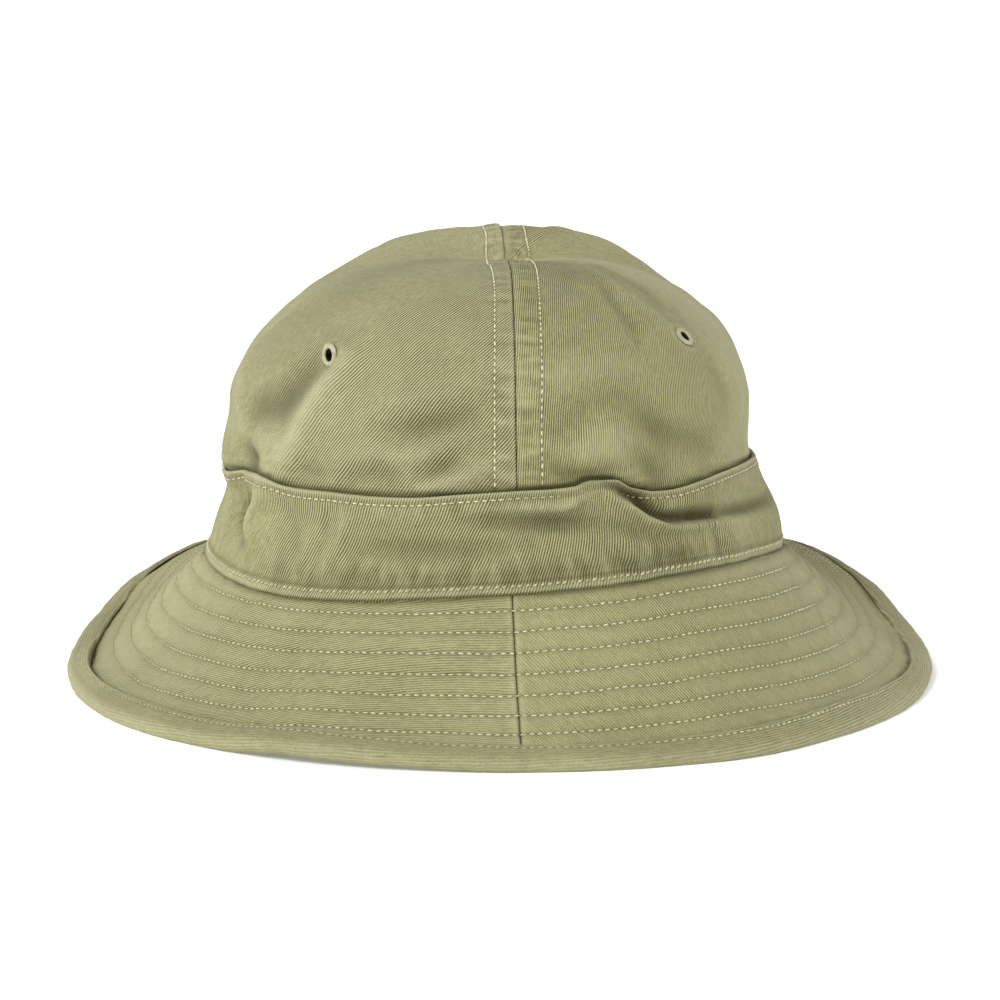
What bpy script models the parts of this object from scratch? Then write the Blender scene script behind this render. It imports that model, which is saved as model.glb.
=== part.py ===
# Military chino hat: a soft crown of four gores, a band, a stitched brim in two halves,
# a binding round its rim and four turned eyelets. Metres, +Z up. The front faces -Y and
# the hat stands on its rim on the plane z = 0.
# Azimuth runs round the hat from the middle of the front (0) by way of +X (90).

import math
from collections import namedtuple

import bmesh
import bpy
from mathutils import Matrix, Quaternion, Vector
from mathutils.bvhtree import BVHTree

# Head opening, measured inside the crown at its foot
HEAD_WIDTH = 0.1746
HEAD_DEPTH = 0.1886

# Heights
SEAM_HEIGHT = 0.0390        # plane to the seam between band and brim
CROWN_HEIGHT = 0.0870       # foot of the crown to its front shoulder
BAND_HEIGHT = 0.0280

# Brim
BRIM_WIDTH = 0.0592         # brim seam to the rim, straight down the slope at the front
BRIM_CLOTH = 0.0024         # two layers stitched together
BINDING_WIDTH = 0.0100
BINDING_CLOTH = 0.0010
RIM_PRESS = 0.0007          # how far the rim is flattened where it rests
HOLLOW_BIAS = 1.6           # above 1, the slope is hollowest beyond half way

# Crown and band
CROWN_CLOTH = 0.0012
BAND_CLOTH = 0.0012
FRONT_SEAM_AZIMUTH = 2.7    # degrees, the front seam stands a little to one side
TIP_REACH = 0.0006          # where each gore stops short of the crossing

# Eyelets
EYELET_WIDTH = 0.0074
EYELET_BORE = 0.0037
EYELET_WALL = 0.0006        # metal of the flange, tube and washer
SEAT_REACH = 0.0050         # as far as the cloth bends to either side of an eyelet

# Pieces that touch keep this gap
PIECE_GAP = 0.0003

# Facets
BAND_ROWS = 4
BRIM_ROWS = 4
GORE_ROWS = 11
GORE_COLUMNS = 18
BINDING_TIP_STEPS = 5
EYELET_SIDES = 14
CREASE_ANGLE = 40.0         # degrees, edges sharper than this aren't shaded smooth

# Steps between the points that a surface's directions are worked out from
LEVEL_STEP = 0.02
SLOPE_STEP = 0.01

# One row for each level of the crown's inside face, from the foot (level 0) to the
# crossing, about evenly spaced along the cloth. rise_* are shares of CROWN_HEIGHT above
# the foot at the front, sides and back. left and right are shares of half HEAD_WIDTH,
# front and back are shares of half HEAD_DEPTH, all from the middle of the opening. The
# side seams stand ahead of that middle, and the front and back seams aside from it.
CrownLevel = namedtuple(
    "CrownLevel", "rise_front rise_side rise_back left right front back aside ahead")
CROWN_LEVELS = (
    CrownLevel(0.000, 0.000, 0.000, 1.030, 0.956, 1.000, 1.000, 0.000, 0.000),
    CrownLevel(0.115, 0.115, 0.115, 0.990, 0.940, 0.990, 0.990, 0.004, 0.000),
    CrownLevel(0.230, 0.230, 0.230, 0.955, 0.885, 0.970, 0.975, 0.008, 0.000),
    CrownLevel(0.345, 0.345, 0.350, 0.985, 0.842, 0.955, 0.965, 0.010, 0.000),
    CrownLevel(0.460, 0.460, 0.467, 0.962, 0.846, 0.940, 0.960, 0.010, 0.000),
    CrownLevel(0.572, 0.572, 0.584, 0.942, 0.838, 0.925, 0.950, 0.010, 0.000),
    CrownLevel(0.676, 0.678, 0.700, 0.890, 0.795, 0.890, 0.925, 0.012, 0.000),
    CrownLevel(0.764, 0.770, 0.812, 0.815, 0.736, 0.840, 0.885, 0.014, 0.000),
    CrownLevel(0.832, 0.836, 0.908, 0.742, 0.666, 0.775, 0.820, 0.016, 0.000),
    CrownLevel(0.886, 0.892, 0.982, 0.670, 0.588, 0.700, 0.735, 0.018, 0.000),
    CrownLevel(0.928, 0.934, 1.038, 0.578, 0.504, 0.610, 0.630, 0.020, 0.005),
    CrownLevel(0.959, 0.965, 1.070, 0.470, 0.408, 0.515, 0.515, 0.022, 0.012),
    CrownLevel(0.978, 0.983, 1.083, 0.345, 0.306, 0.415, 0.390, 0.024, 0.025),
    CrownLevel(0.988, 0.990, 1.075, 0.215, 0.205, 0.315, 0.255, 0.024, 0.045),
    CrownLevel(0.988, 0.988, 1.040, 0.092, 0.108, 0.220, 0.090, 0.024, 0.075),
    CrownLevel(0.983, 0.983, 0.983, -0.024, 0.024, 0.120, -0.120, 0.024, 0.120),
)

# One row for each azimuth of the brim, in degrees. seam is the height of its inner seam
# and edge the height of its rim, as shares of SEAM_HEIGHT. width is its own width as a
# share of BRIM_WIDTH and hollow is how far it dips below a straight slope, as a share of
# BRIM_WIDTH. band is the height of the band there as a share of BAND_HEIGHT.
BrimSection = namedtuple("BrimSection", "azimuth seam edge width hollow band")
BRIM_SECTIONS = (
    BrimSection(-180, 0.98, 0.00, 1.000, 0.03, 1.00),
    BrimSection(-165, 0.97, 0.12, 0.980, 0.03, 1.00),
    BrimSection(-150, 0.96, 0.36, 0.960, 0.01, 1.00),
    BrimSection(-134, 0.95, 0.48, 0.945, -0.02, 0.98),
    BrimSection(-120, 0.94, 0.34, 0.935, -0.01, 0.94),
    BrimSection(-106, 0.94, 0.15, 0.930, 0.04, 0.92),
    BrimSection(-90, 0.94, 0.05, 0.925, 0.07, 0.92),
    BrimSection(-64, 0.93, 0.00, 0.940, 0.07, 1.10),
    BrimSection(-50, 0.93, 0.00, 0.960, 0.06, 1.01),
    BrimSection(-36, 0.94, 0.01, 0.975, 0.06, 1.00),
    BrimSection(-24, 0.95, 0.06, 0.990, 0.05, 0.99),
    BrimSection(0, 0.99, 0.01, 1.010, 0.05, 0.98),
    BrimSection(12, 1.01, 0.00, 1.025, 0.05, 0.96),
    BrimSection(20, 1.03, 0.00, 1.040, 0.05, 1.03),
    BrimSection(26, 1.04, 0.00, 1.055, 0.05, 0.95),
    BrimSection(32, 1.06, 0.00, 1.060, 0.05, 0.85),
    BrimSection(45, 1.07, 0.00, 1.035, 0.06, 0.88),
    BrimSection(65, 1.05, 0.00, 1.020, 0.07, 0.94),
    BrimSection(90, 0.98, 0.05, 0.990, 0.07, 0.98),
    BrimSection(106, 0.96, 0.14, 0.985, 0.04, 1.02),
    BrimSection(120, 0.95, 0.33, 0.985, -0.01, 1.02),
    BrimSection(134, 0.95, 0.47, 0.985, -0.02, 1.00),
    BrimSection(150, 0.96, 0.36, 0.985, 0.01, 1.00),
    BrimSection(165, 0.97, 0.12, 0.995, 0.03, 1.00),
)

# One row for each fold or dent in the crown and band. azimuth is in degrees and up is the
# share of the way from the brim seam to the crossing. lean turns the fold from upright, in
# degrees towards +azimuth. length, width and depth are shares of CROWN_HEIGHT, and a
# negative depth is a dent. CROWN_LENGTH is the cloth from foot to crossing, as such a share.
CROWN_LENGTH = 1.75
Fold = namedtuple("Fold", "azimuth up lean length width depth")
FOLDS = (
    Fold(-55, 0.13, 10, 0.20, 0.080, 0.030),
    Fold(-66, 0.12, 8, 0.20, 0.080, -0.045),
    Fold(34, 0.15, 62, 0.16, 0.070, -0.030),
    Fold(58, 0.10, 86, 0.30, 0.070, -0.035),
    Fold(22, 0.21, 70, 0.14, 0.080, 0.020),
    Fold(-84, 0.24, 10, 0.12, 0.090, -0.030),
    Fold(-98, 0.38, 0, 0.30, 0.140, 0.020),
    Fold(-84, 0.47, 35, 0.16, 0.090, -0.025),
    Fold(96, 0.45, 20, 0.18, 0.100, 0.012),
    Fold(148, 0.30, 25, 0.25, 0.100, -0.025),
    Fold(-140, 0.34, -20, 0.25, 0.100, -0.025),
)

# Azimuths of the gores' seams, in degrees
GORE_SEAMS = {"front": FRONT_SEAM_AZIMUTH, "right": 92.0, "back": 180.0, "left": -90.0}

# One row for each gore: its seams, in order of azimuth, and the place of its eyelet
Gore = namedtuple("Gore", "start end eyelet_azimuth eyelet_level")
GORES = {
    "front_left": Gore("left", "front", -42.1, 6.5),
    "front_right": Gore("front", "right", 51.2, 6.85),
    "back_right": Gore("right", "back", 135.0, 7.0),
    "back_left": Gore("back", "left", -135.0, 7.0),
}

CLOTH = {"colour": (0.40, 0.37, 0.22, 1.0), "roughness": 0.9, "metallic": 0.0}
METAL = {"colour": (0.62, 0.56, 0.42, 1.0), "roughness": 0.4, "metallic": 0.0}

TOP_LEVEL = len(CROWN_LEVELS) - 1
TIP_RADIUS = BRIM_CLOTH / 2 + PIECE_GAP + BINDING_CLOTH
BAND_STEP = CROWN_CLOTH + PIECE_GAP
SEAM_STEP = BAND_STEP + BAND_CLOTH


def smooth(places, values, place):
    """A cubic curve through the values, with no corner at any of them."""
    last = len(places) - 1
    low = 0
    while low < last - 1 and places[low + 1] <= place:
        low += 1
    slopes = []
    for index in (low, low + 1):
        before = max(index - 1, 0)
        after = min(index + 1, last)
        slopes.append((values[after] - values[before]) / (places[after] - places[before]))
    span = places[low + 1] - places[low]
    t = (place - places[low]) / span
    near = (1 + 2 * t) * (1 - t) ** 2 * values[low] + t * (1 - t) ** 2 * span * slopes[0]
    far = t * t * (3 - 2 * t) * values[low + 1] - t * t * (1 - t) * span * slopes[1]
    return near + far


def crown_column(name, level):
    places = list(range(len(CROWN_LEVELS)))
    return smooth(places, [getattr(row, name) for row in CROWN_LEVELS], level)


def brim_column(name, azimuth):
    """A column of the brim's table at any azimuth, closed round the hat."""
    degrees = (math.degrees(azimuth) + 180.0) % 360.0 - 180.0
    rows = BRIM_SECTIONS
    places = [row.azimuth - 360 for row in rows[-3:]]
    places += [row.azimuth for row in rows]
    places += [row.azimuth + 360 for row in rows[:3]]
    values = [getattr(row, name) for row in rows[-3:] + rows + rows[:3]]
    return smooth(places, values, degrees)


def seam_height(azimuth):
    return SEAM_HEIGHT * brim_column("seam", azimuth)


def crown_reach(azimuth, level):
    """The middle of one level of the crown, and its reach across and along the hat."""
    half_width = HEAD_WIDTH / 2
    half_depth = HEAD_DEPTH / 2
    aside = half_width * crown_column("aside", level)
    ahead = half_depth * crown_column("ahead", level)
    if math.sin(azimuth) > 0.0:
        wide = half_width * crown_column("right", level) - aside
    else:
        wide = half_width * crown_column("left", level) + aside
    if math.cos(azimuth) > 0.0:
        deep = half_depth * crown_column("front", level) - ahead
    else:
        deep = half_depth * crown_column("back", level) + ahead
    return Vector((aside, -ahead, 0.0)), wide, deep


def crown_base(azimuth, level):
    """A point of the crown's inside face before its folds: each quarter is an ellipse."""
    middle, wide, deep = crown_reach(azimuth, level)
    across = math.sin(azimuth)
    along = math.cos(azimuth)
    end = crown_column("rise_front" if along > 0.0 else "rise_back", level)
    side = crown_column("rise_side", level)
    rise = end + (side - end) * across ** 6
    seam = seam_height(azimuth)
    foot = BRIM_CLOTH / 2 + PIECE_GAP
    sag = (seam - SEAM_HEIGHT) * max(1.0 - rise, 0.0)
    height = SEAM_HEIGHT + foot + sag + CROWN_HEIGHT * rise
    return middle + Vector((wide * across, -deep * along, height))


def crown_normal(azimuth, level):
    """Outward direction of the crown, level at its foot and upright at the crossing."""
    low = max(level - LEVEL_STEP, 0.0)
    high = min(level + LEVEL_STEP, TOP_LEVEL - LEVEL_STEP)
    around = crown_base(azimuth + LEVEL_STEP, level)
    around -= crown_base(azimuth - LEVEL_STEP, level)
    upward = crown_base(azimuth, high) - crown_base(azimuth, low)
    outward = around.cross(upward).normalized()
    outward.z *= min(level, 1.0)
    upright = max(level - TOP_LEVEL + 1.0, 0.0)
    return outward.lerp(Vector((0.0, 0.0, 1.0)), upright).normalized()


def fold_depth(azimuth, level):
    """The sum of all folds at a point, each one a smooth ridge or dent along a line.

    The foot is sewn down, so the folds fade out towards it.
    """
    total = 0.0
    radius = (HEAD_WIDTH + HEAD_DEPTH) / 4
    climb = CROWN_HEIGHT * CROWN_LENGTH
    for fold in FOLDS:
        turn = azimuth - math.radians(fold.azimuth)
        turn = (turn + math.pi) % (2 * math.pi) - math.pi
        beside = turn * radius
        above = (level / TOP_LEVEL - fold.up) * climb
        lean = math.radians(fold.lean)
        along = beside * math.sin(lean) + above * math.cos(lean)
        across = beside * math.cos(lean) - above * math.sin(lean)
        reach = (along / (fold.length * CROWN_HEIGHT)) ** 2
        reach += (across / (fold.width * CROWN_HEIGHT)) ** 2
        total += fold.depth * CROWN_HEIGHT * math.exp(-reach)
    return total * min(level, 1.0)


def crown_point(azimuth, level, lift):
    """A point at a distance lift outside the crown's inside face."""
    away = lift + fold_depth(azimuth, level)
    return crown_base(azimuth, level) + away * crown_normal(azimuth, level)


def level_at(height):
    """The level that stands at a height above the foot, on the upright part of the wall."""
    places = [CROWN_HEIGHT * row.rise_side for row in CROWN_LEVELS]
    low = 0
    while places[low + 1] < height:
        low += 1
    return low + (height - places[low]) / (places[low + 1] - places[low])


def brim_seam(azimuth):
    """Where the brim starts under the band's outer face, and its direction outward."""
    seam = crown_base(azimuth, 0.0)
    outward = crown_normal(azimuth, 0.0)
    seam += SEAM_STEP * outward
    seam.z = seam_height(azimuth)
    return seam, outward


def brim_slope(azimuth):
    """Straight distance from the brim's seam to the middle of its folded rim."""
    return BRIM_WIDTH * brim_column("width", azimuth) - TIP_RADIUS


def brim_point(azimuth, share):
    """The middle of the brim's cloth at a share of the way down its slope.

    A share below zero is the level strip under the band, in shares of the same length.
    """
    seam, outward = brim_seam(azimuth)
    slope = brim_slope(azimuth)
    if share <= 0.0:
        return seam + share * slope * outward
    rest = TIP_RADIUS - RIM_PRESS
    drop = seam.z - rest - SEAM_HEIGHT * brim_column("edge", azimuth)
    reach = math.sqrt(slope ** 2 - drop ** 2)
    dip = BRIM_WIDTH * brim_column("hollow", azimuth)
    dip *= math.sin(math.pi * share ** HOLLOW_BIAS)
    away = share * reach - dip * drop / slope
    down = share * drop + dip * reach / slope
    return seam + away * outward - Vector((0.0, 0.0, down))


def brim_normal(azimuth, share):
    """Upward direction of the brim, from its slopes round and down the cloth."""
    around = brim_point(azimuth + SLOPE_STEP, share)
    around -= brim_point(azimuth - SLOPE_STEP, share)
    downward = brim_point(azimuth, share + SLOPE_STEP)
    downward -= brim_point(azimuth, share - SLOPE_STEP)
    return downward.cross(around).normalized()


def brim_face(azimuth, share, lift):
    """A point at a distance lift above the middle of the brim's cloth."""
    return brim_point(azimuth, share) + lift * brim_normal(azimuth, share)


def bound_share(azimuth):
    """The share of the slope where the binding's flat leaves begin."""
    return 1.0 - (BINDING_WIDTH - TIP_RADIUS) / brim_slope(azimuth)


def azimuths(start, end, count):
    return [start + (end - start) * index / count for index in range(count + 1)]


def trimmed(columns, radius):
    """The azimuths of one piece, drawn in so that each end keeps half the gap."""
    back = PIECE_GAP / 2 / radius
    span = columns[-1] - columns[0]
    share = (span - 2 * back) / span
    return [columns[0] + back + (column - columns[0]) * share for column in columns]


def gore_columns(name):
    gore = GORES[name]
    start = math.radians(GORE_SEAMS[gore.start])
    end = math.radians(GORE_SEAMS[gore.end])
    if end < start:
        start -= 2 * math.pi
    return azimuths(start, end, GORE_COLUMNS)


def ring_columns():
    """Every azimuth of the gores, once round the hat, so that all pieces share facets."""
    columns = []
    for name in ("front_right", "back_right", "back_left", "front_left"):
        columns += gore_columns(name)[:-1]
    return columns


def hat_centre():
    """The middle of the rim's outline in plan."""
    rim = [brim_point(azimuth, 1.0) for azimuth in ring_columns()]
    across = [point.x for point in rim]
    deep = [point.y for point in rim]
    return Vector(((min(across) + max(across)) / 2, (min(deep) + max(deep)) / 2, 0.0))


def new_material(name, look):
    material = bpy.data.materials.new(name)
    material.use_nodes = True
    shader = material.node_tree.nodes["Principled BSDF"]
    shader.inputs["Base Color"].default_value = look["colour"]
    shader.inputs["Roughness"].default_value = look["roughness"]
    shader.inputs["Metallic"].default_value = look["metallic"]
    material.diffuse_color = look["colour"]
    return material


def new_object(name, points, faces, look, root):
    """One closed body, smooth but for its sharp edges, placed under the hat's empty."""
    mesh = bpy.data.meshes.new(name)
    mesh.from_pydata([tuple(point) for point in points], [], faces)
    mesh.materials.append(new_material(name, look))
    mesh.shade_smooth()
    mesh.set_sharp_from_angle(angle=math.radians(CREASE_ANGLE))
    piece = bpy.data.objects.new(name, mesh)
    bpy.context.collection.objects.link(piece)
    piece.parent = root
    return piece


def shell(name, outer, inner, closed, look, root):
    """A cloth wall between two grids of points, listed by azimuth and then upward.

    Both faces are cut into triangles the same way, so neighbouring walls stay parallel.
    """
    columns = len(outer)
    rows = len(outer[0])
    points = [point for column in outer for point in column]
    points += [point for column in inner for point in column]
    back = columns * rows

    def at(column, row, side):
        return side * back + (column % columns) * rows + row

    faces = []
    for column in range(columns if closed else columns - 1):
        for row in range(rows - 1):
            near = (column, row)
            far = (column + 1, row + 1)
            for corners in ((near, (column + 1, row), far), (near, far, (column, row + 1))):
                faces.append([at(*corner, 0) for corner in corners])
                faces.append([at(*corner, 1) for corner in reversed(corners)])
        for row, order in ((0, 1), (rows - 1, -1)):
            edge = [at(column, row, 0), at(column, row, 1),
                    at(column + 1, row, 1), at(column + 1, row, 0)]
            faces.append(edge[::order])
    if not closed:
        for column, order in ((0, 1), (columns - 1, -1)):
            for row in range(rows - 1):
                edge = [at(column, row, 0), at(column, row + 1, 0),
                        at(column, row + 1, 1), at(column, row, 1)]
                faces.append(edge[::order])
    return new_object(name, points, faces, look, root)


def turned(name, profile, centre, axis, look, root):
    """A closed profile of (radius, height) points turned round an axis."""
    upright = axis.to_track_quat("Z", "Y")
    points = []
    for side in range(EYELET_SIDES):
        turn = 2 * math.pi * side / EYELET_SIDES
        for radius, height in profile:
            local = Vector((radius * math.cos(turn), radius * math.sin(turn), height))
            points.append(centre + upright @ local)
    count = len(profile)
    faces = []
    for side in range(EYELET_SIDES):
        after = (side + 1) % EYELET_SIDES
        for index in range(count):
            onward = (index + 1) % count
            faces.append([side * count + index, after * count + index,
                          after * count + onward, side * count + onward])
    return new_object(name, points, faces, look, root)


def tip_level():
    """The level where a gore stops, a small reach short of the crossing."""
    wide = crown_reach(math.pi / 2, TOP_LEVEL - 1)[1]
    return TOP_LEVEL - TIP_REACH / wide


def band_levels(azimuth):
    """Levels of the band's rows at one azimuth, from its foot to its top edge."""
    top = BAND_HEIGHT * brim_column("band", azimuth)
    return [level_at(top * row / BAND_ROWS) for row in range(BAND_ROWS + 1)]


def gore_levels(azimuth):
    """The band's levels, then even steps up to a gore's tip."""
    levels = band_levels(azimuth)
    climb = tip_level() - levels[-1]
    return levels + [levels[-1] + climb * row / GORE_ROWS for row in range(1, GORE_ROWS + 1)]


def build_gore(name, root):
    columns = gore_columns(name)
    outer = [[] for column in columns]
    inner = [[] for column in columns]
    centre = columns[len(columns) // 2]
    for row, usual in enumerate(gore_levels(centre)):
        middle, wide, deep = crown_reach(centre, usual)
        for index, azimuth in enumerate(trimmed(columns, min(wide, deep))):
            level = gore_levels(azimuth)[row]
            outer[index].append(crown_point(azimuth, level, CROWN_CLOTH))
            inner[index].append(crown_point(azimuth, level, 0.0))
    return shell("crown_" + name, outer, inner, False, CLOTH, root)


def build_band(root):
    columns = ring_columns()
    outer = []
    inner = []
    for azimuth in columns:
        levels = band_levels(azimuth)
        outer.append([crown_point(azimuth, level, SEAM_STEP) for level in levels])
        inner.append([crown_point(azimuth, level, BAND_STEP) for level in levels])
    return shell("band", outer, inner, True, CLOTH, root)


def brim_stations(azimuth):
    """Shares of the slope at the brim's rows, from under the crown to its edge."""
    bound = bound_share(azimuth)
    under = -SEAM_STEP / brim_slope(azimuth)
    return [under, 0.0] + [bound * row / BRIM_ROWS for row in range(1, BRIM_ROWS + 1)] + [1.0]


def build_brim(name, start, end, root):
    first = math.radians(GORE_SEAMS[start])
    last = math.radians(GORE_SEAMS[end])
    if last < first:
        last += 2 * math.pi
    twice = ring_columns() + [turn + 2 * math.pi for turn in ring_columns()]
    near = (last - first) / GORE_COLUMNS / 4
    columns = [turn for turn in twice if first + near < turn < last - near]
    columns = [first] + columns + [last]
    upper = [[] for column in columns]
    lower = [[] for column in columns]
    for row, share in enumerate(brim_stations(first)):
        seam = brim_point(first, share)
        radius = math.hypot(seam.x, seam.y)
        for index, azimuth in enumerate(trimmed(columns, radius)):
            station = brim_stations(azimuth)[row]
            upper[index].append(brim_face(azimuth, station, BRIM_CLOTH / 2))
            lower[index].append(brim_face(azimuth, station, -BRIM_CLOTH / 2))
    return shell(name, lower, upper, False, CLOTH, root)


def binding_section():
    """The folded strip's outline as (place, height above the middle of the cloth).

    The place is a distance past the brim's edge, or None at the start of a flat leaf.
    """
    inside = TIP_RADIUS - BINDING_CLOTH
    outline = [(None, TIP_RADIUS)]
    for step in range(BINDING_TIP_STEPS + 1):
        turn = math.pi * (0.5 - step / BINDING_TIP_STEPS)
        outline.append((TIP_RADIUS * math.cos(turn), TIP_RADIUS * math.sin(turn)))
    outline.append((None, -TIP_RADIUS))
    outline.append((None, -inside))
    for step in range(BINDING_TIP_STEPS - 1):
        turn = math.pi * (step / (BINDING_TIP_STEPS - 2) - 0.5)
        outline.append((inside * math.cos(turn), inside * math.sin(turn)))
    outline.append((None, inside))
    return outline


def build_binding(root):
    """The strip swept round the rim and pressed flat where it would go below the plane."""
    columns = ring_columns()
    section = binding_section()
    points = []
    for azimuth in columns:
        start = bound_share(azimuth)
        edge = brim_point(azimuth, 1.0)
        normal = brim_normal(azimuth, 1.0)
        onward = (edge - brim_point(azimuth, start)).normalized()
        for past, above in section:
            if past is None:
                point = brim_face(azimuth, start, above)
            else:
                point = edge + past * onward + above * normal
            point.z = max(point.z, 0.0)
            points.append(point)
    count = len(section)
    total = len(columns)
    faces = []
    for column in range(total):
        after = (column + 1) % total
        for index in range(count):
            onward = (index + 1) % count
            faces.append([column * count + index, column * count + onward,
                          after * count + onward, after * count + index])
    return new_object("rim_binding", points, faces, CLOTH, root)


def seats(gore_piece, middle, axis):
    """Heights along the eyelet's axis of the highest cloth under its flange and washer."""
    mesh = gore_piece.data
    cloth = BVHTree.FromPolygons([point.co for point in mesh.vertices],
                                 [face.vertices for face in mesh.polygons])
    beside = axis.orthogonal().normalized()
    upper = []
    lower = []
    for reach in (EYELET_WIDTH / 2, EYELET_WIDTH / 3, EYELET_WIDTH / 4):
        for side in range(2 * EYELET_SIDES):
            turn = Quaternion(axis, math.pi * side / EYELET_SIDES)
            place = middle + reach * (turn @ beside)
            for start, heights in ((SEAT_REACH, upper), (-SEAT_REACH, lower)):
                way = -axis if start > 0 else axis
                found = cloth.ray_cast(place + start * axis, way)[0]
                heights.append((found - middle).dot(axis))
    return max(upper) + PIECE_GAP, min(lower) - PIECE_GAP


def eyelet_profile(top, bottom):
    """The spool's outline as (radius, height): bore, washer inside, tube, flange outside."""
    bore = EYELET_BORE / 2
    tube = bore + EYELET_WALL
    flange = EYELET_WIDTH / 2
    crest = top + EYELET_WALL
    base = bottom - EYELET_WALL
    return [
        (bore, base), (flange, base), (flange, bottom), (tube, bottom), (tube, top),
        (flange, top), (flange - EYELET_WALL / 2, crest - EYELET_WALL / 4),
        (tube, crest), (bore, crest - EYELET_WALL / 2),
    ]


def facing(azimuth, level):
    """Outward direction of the folded cloth under an eyelet, from points at its rim."""
    turn = EYELET_WIDTH / 2 / crown_reach(azimuth, level)[1]
    climb = EYELET_WIDTH / 2 * TOP_LEVEL / (CROWN_HEIGHT * CROWN_LENGTH)
    beside = crown_point(azimuth + turn, level, 0.0) - crown_point(azimuth - turn, level, 0.0)
    above = crown_point(azimuth, level + climb, 0.0) - crown_point(azimuth, level - climb, 0.0)
    return beside.cross(above).normalized()


def build_eyelet(name, gore_piece, root):
    """The eyelet in the middle of a gore, and the hole that its tube passes through."""
    gore = GORES[name]
    azimuth = math.radians(gore.eyelet_azimuth)
    middle = crown_point(azimuth, gore.eyelet_level, CROWN_CLOTH / 2)
    axis = facing(azimuth, gore.eyelet_level)
    top, bottom = seats(gore_piece, middle, axis)
    turned("eyelet_" + name, eyelet_profile(top, bottom), middle, axis, METAL, root)

    hole = EYELET_BORE / 2 + EYELET_WALL + PIECE_GAP
    upright = axis.to_track_quat("Z", "Y").to_matrix().to_4x4()
    drill = bmesh.new()
    bmesh.ops.create_cone(drill, cap_ends=True, segments=EYELET_SIDES, radius1=hole,
                          radius2=hole, depth=2 * SEAT_REACH,
                          matrix=Matrix.Translation(middle) @ upright)
    mesh = bpy.data.meshes.new("cutter_" + name)
    drill.to_mesh(mesh)
    drill.free()
    cutter = bpy.data.objects.new("cutter_" + name, mesh)
    bpy.context.collection.objects.link(cutter)
    cutter.parent = root
    cutter.hide_render = True
    cutter.display_type = "WIRE"
    cut = gore_piece.modifiers.new("eyelet_hole", "BOOLEAN")
    cut.operation = "DIFFERENCE"
    cut.solver = "EXACT"
    cut.object = cutter


def main():
    for item in list(bpy.data.objects):
        bpy.data.objects.remove(item, do_unlink=True)
    root = bpy.data.objects.new("hat", None)
    root.location = -hat_centre()
    bpy.context.collection.objects.link(root)
    for name in GORES:
        gore_piece = build_gore(name, root)
        build_eyelet(name, gore_piece, root)
    build_band(root)
    build_brim("brim_right", "front", "back", root)
    build_brim("brim_left", "back", "front", root)
    build_binding(root)


main()
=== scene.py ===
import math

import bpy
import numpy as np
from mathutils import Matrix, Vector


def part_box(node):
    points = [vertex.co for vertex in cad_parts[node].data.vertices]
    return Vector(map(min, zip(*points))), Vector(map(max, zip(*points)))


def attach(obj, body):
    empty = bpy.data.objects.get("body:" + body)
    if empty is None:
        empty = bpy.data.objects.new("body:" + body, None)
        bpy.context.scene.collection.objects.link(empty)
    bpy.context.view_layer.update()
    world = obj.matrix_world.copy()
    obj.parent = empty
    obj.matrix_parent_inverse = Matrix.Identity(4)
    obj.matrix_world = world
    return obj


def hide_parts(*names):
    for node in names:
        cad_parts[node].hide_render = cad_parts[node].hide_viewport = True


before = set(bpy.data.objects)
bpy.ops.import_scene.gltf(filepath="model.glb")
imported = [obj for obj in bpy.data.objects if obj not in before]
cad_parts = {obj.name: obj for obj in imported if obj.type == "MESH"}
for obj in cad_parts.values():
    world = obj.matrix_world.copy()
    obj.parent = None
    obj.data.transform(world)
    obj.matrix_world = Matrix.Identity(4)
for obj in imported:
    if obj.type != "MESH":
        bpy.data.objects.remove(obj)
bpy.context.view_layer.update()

# Military chino hat: four crown gores, a band, a stitched brim in two halves, a bound rim,
# eyelets and every stitch. Metres, +Z up, the front faces -Y.
# Azimuth runs round the hat from the middle of the front (0) by way of +X (90 degrees).

mm = 0.001
tau = 2 * math.pi

# The hat's shape: the same sizes and tables as the solids have

hat = {
    "headWidth": 174.6 * mm,
    "headDepth": 188.6 * mm,
    "seamHeight": 39.0 * mm,
    "crownHeight": 87.0 * mm,
    "crownLength": 1.75,        # cloth from foot to crossing, as a share of crownHeight
    "bandHeight": 28.0 * mm,
    "brimWidth": 59.2 * mm,
    "brimCloth": 2.4 * mm,
    "bindingWidth": 10.0 * mm,
    "bindingCloth": 1.0 * mm,
    "rimPress": 0.7 * mm,       # how far the rim is flattened where it rests
    "hollowBias": 1.6,
    "crownCloth": 1.2 * mm,
    "bandCloth": 1.2 * mm,
    "gap": 0.3 * mm,
    "seams": {"front": 1.5, "right": 92.0, "left": -90.0},    # degrees
    "seamSink": 3.0 * mm,       # how far the band's foot sags at the front left
    "sinkPlace": -43.0,         # degrees, where it sags most
    "sinkWidth": (30.0, 26.0),  # degrees, to the left and to the right of there
    "frontLean": (0.45 * mm, -0.19 * mm),    # the front seam's way right, and per level
    "backLean": 3.2,            # the back seam's way to the left of straight behind
    "backJog": 1.9 * mm,        # its start to the left of the crossing
}

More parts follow.
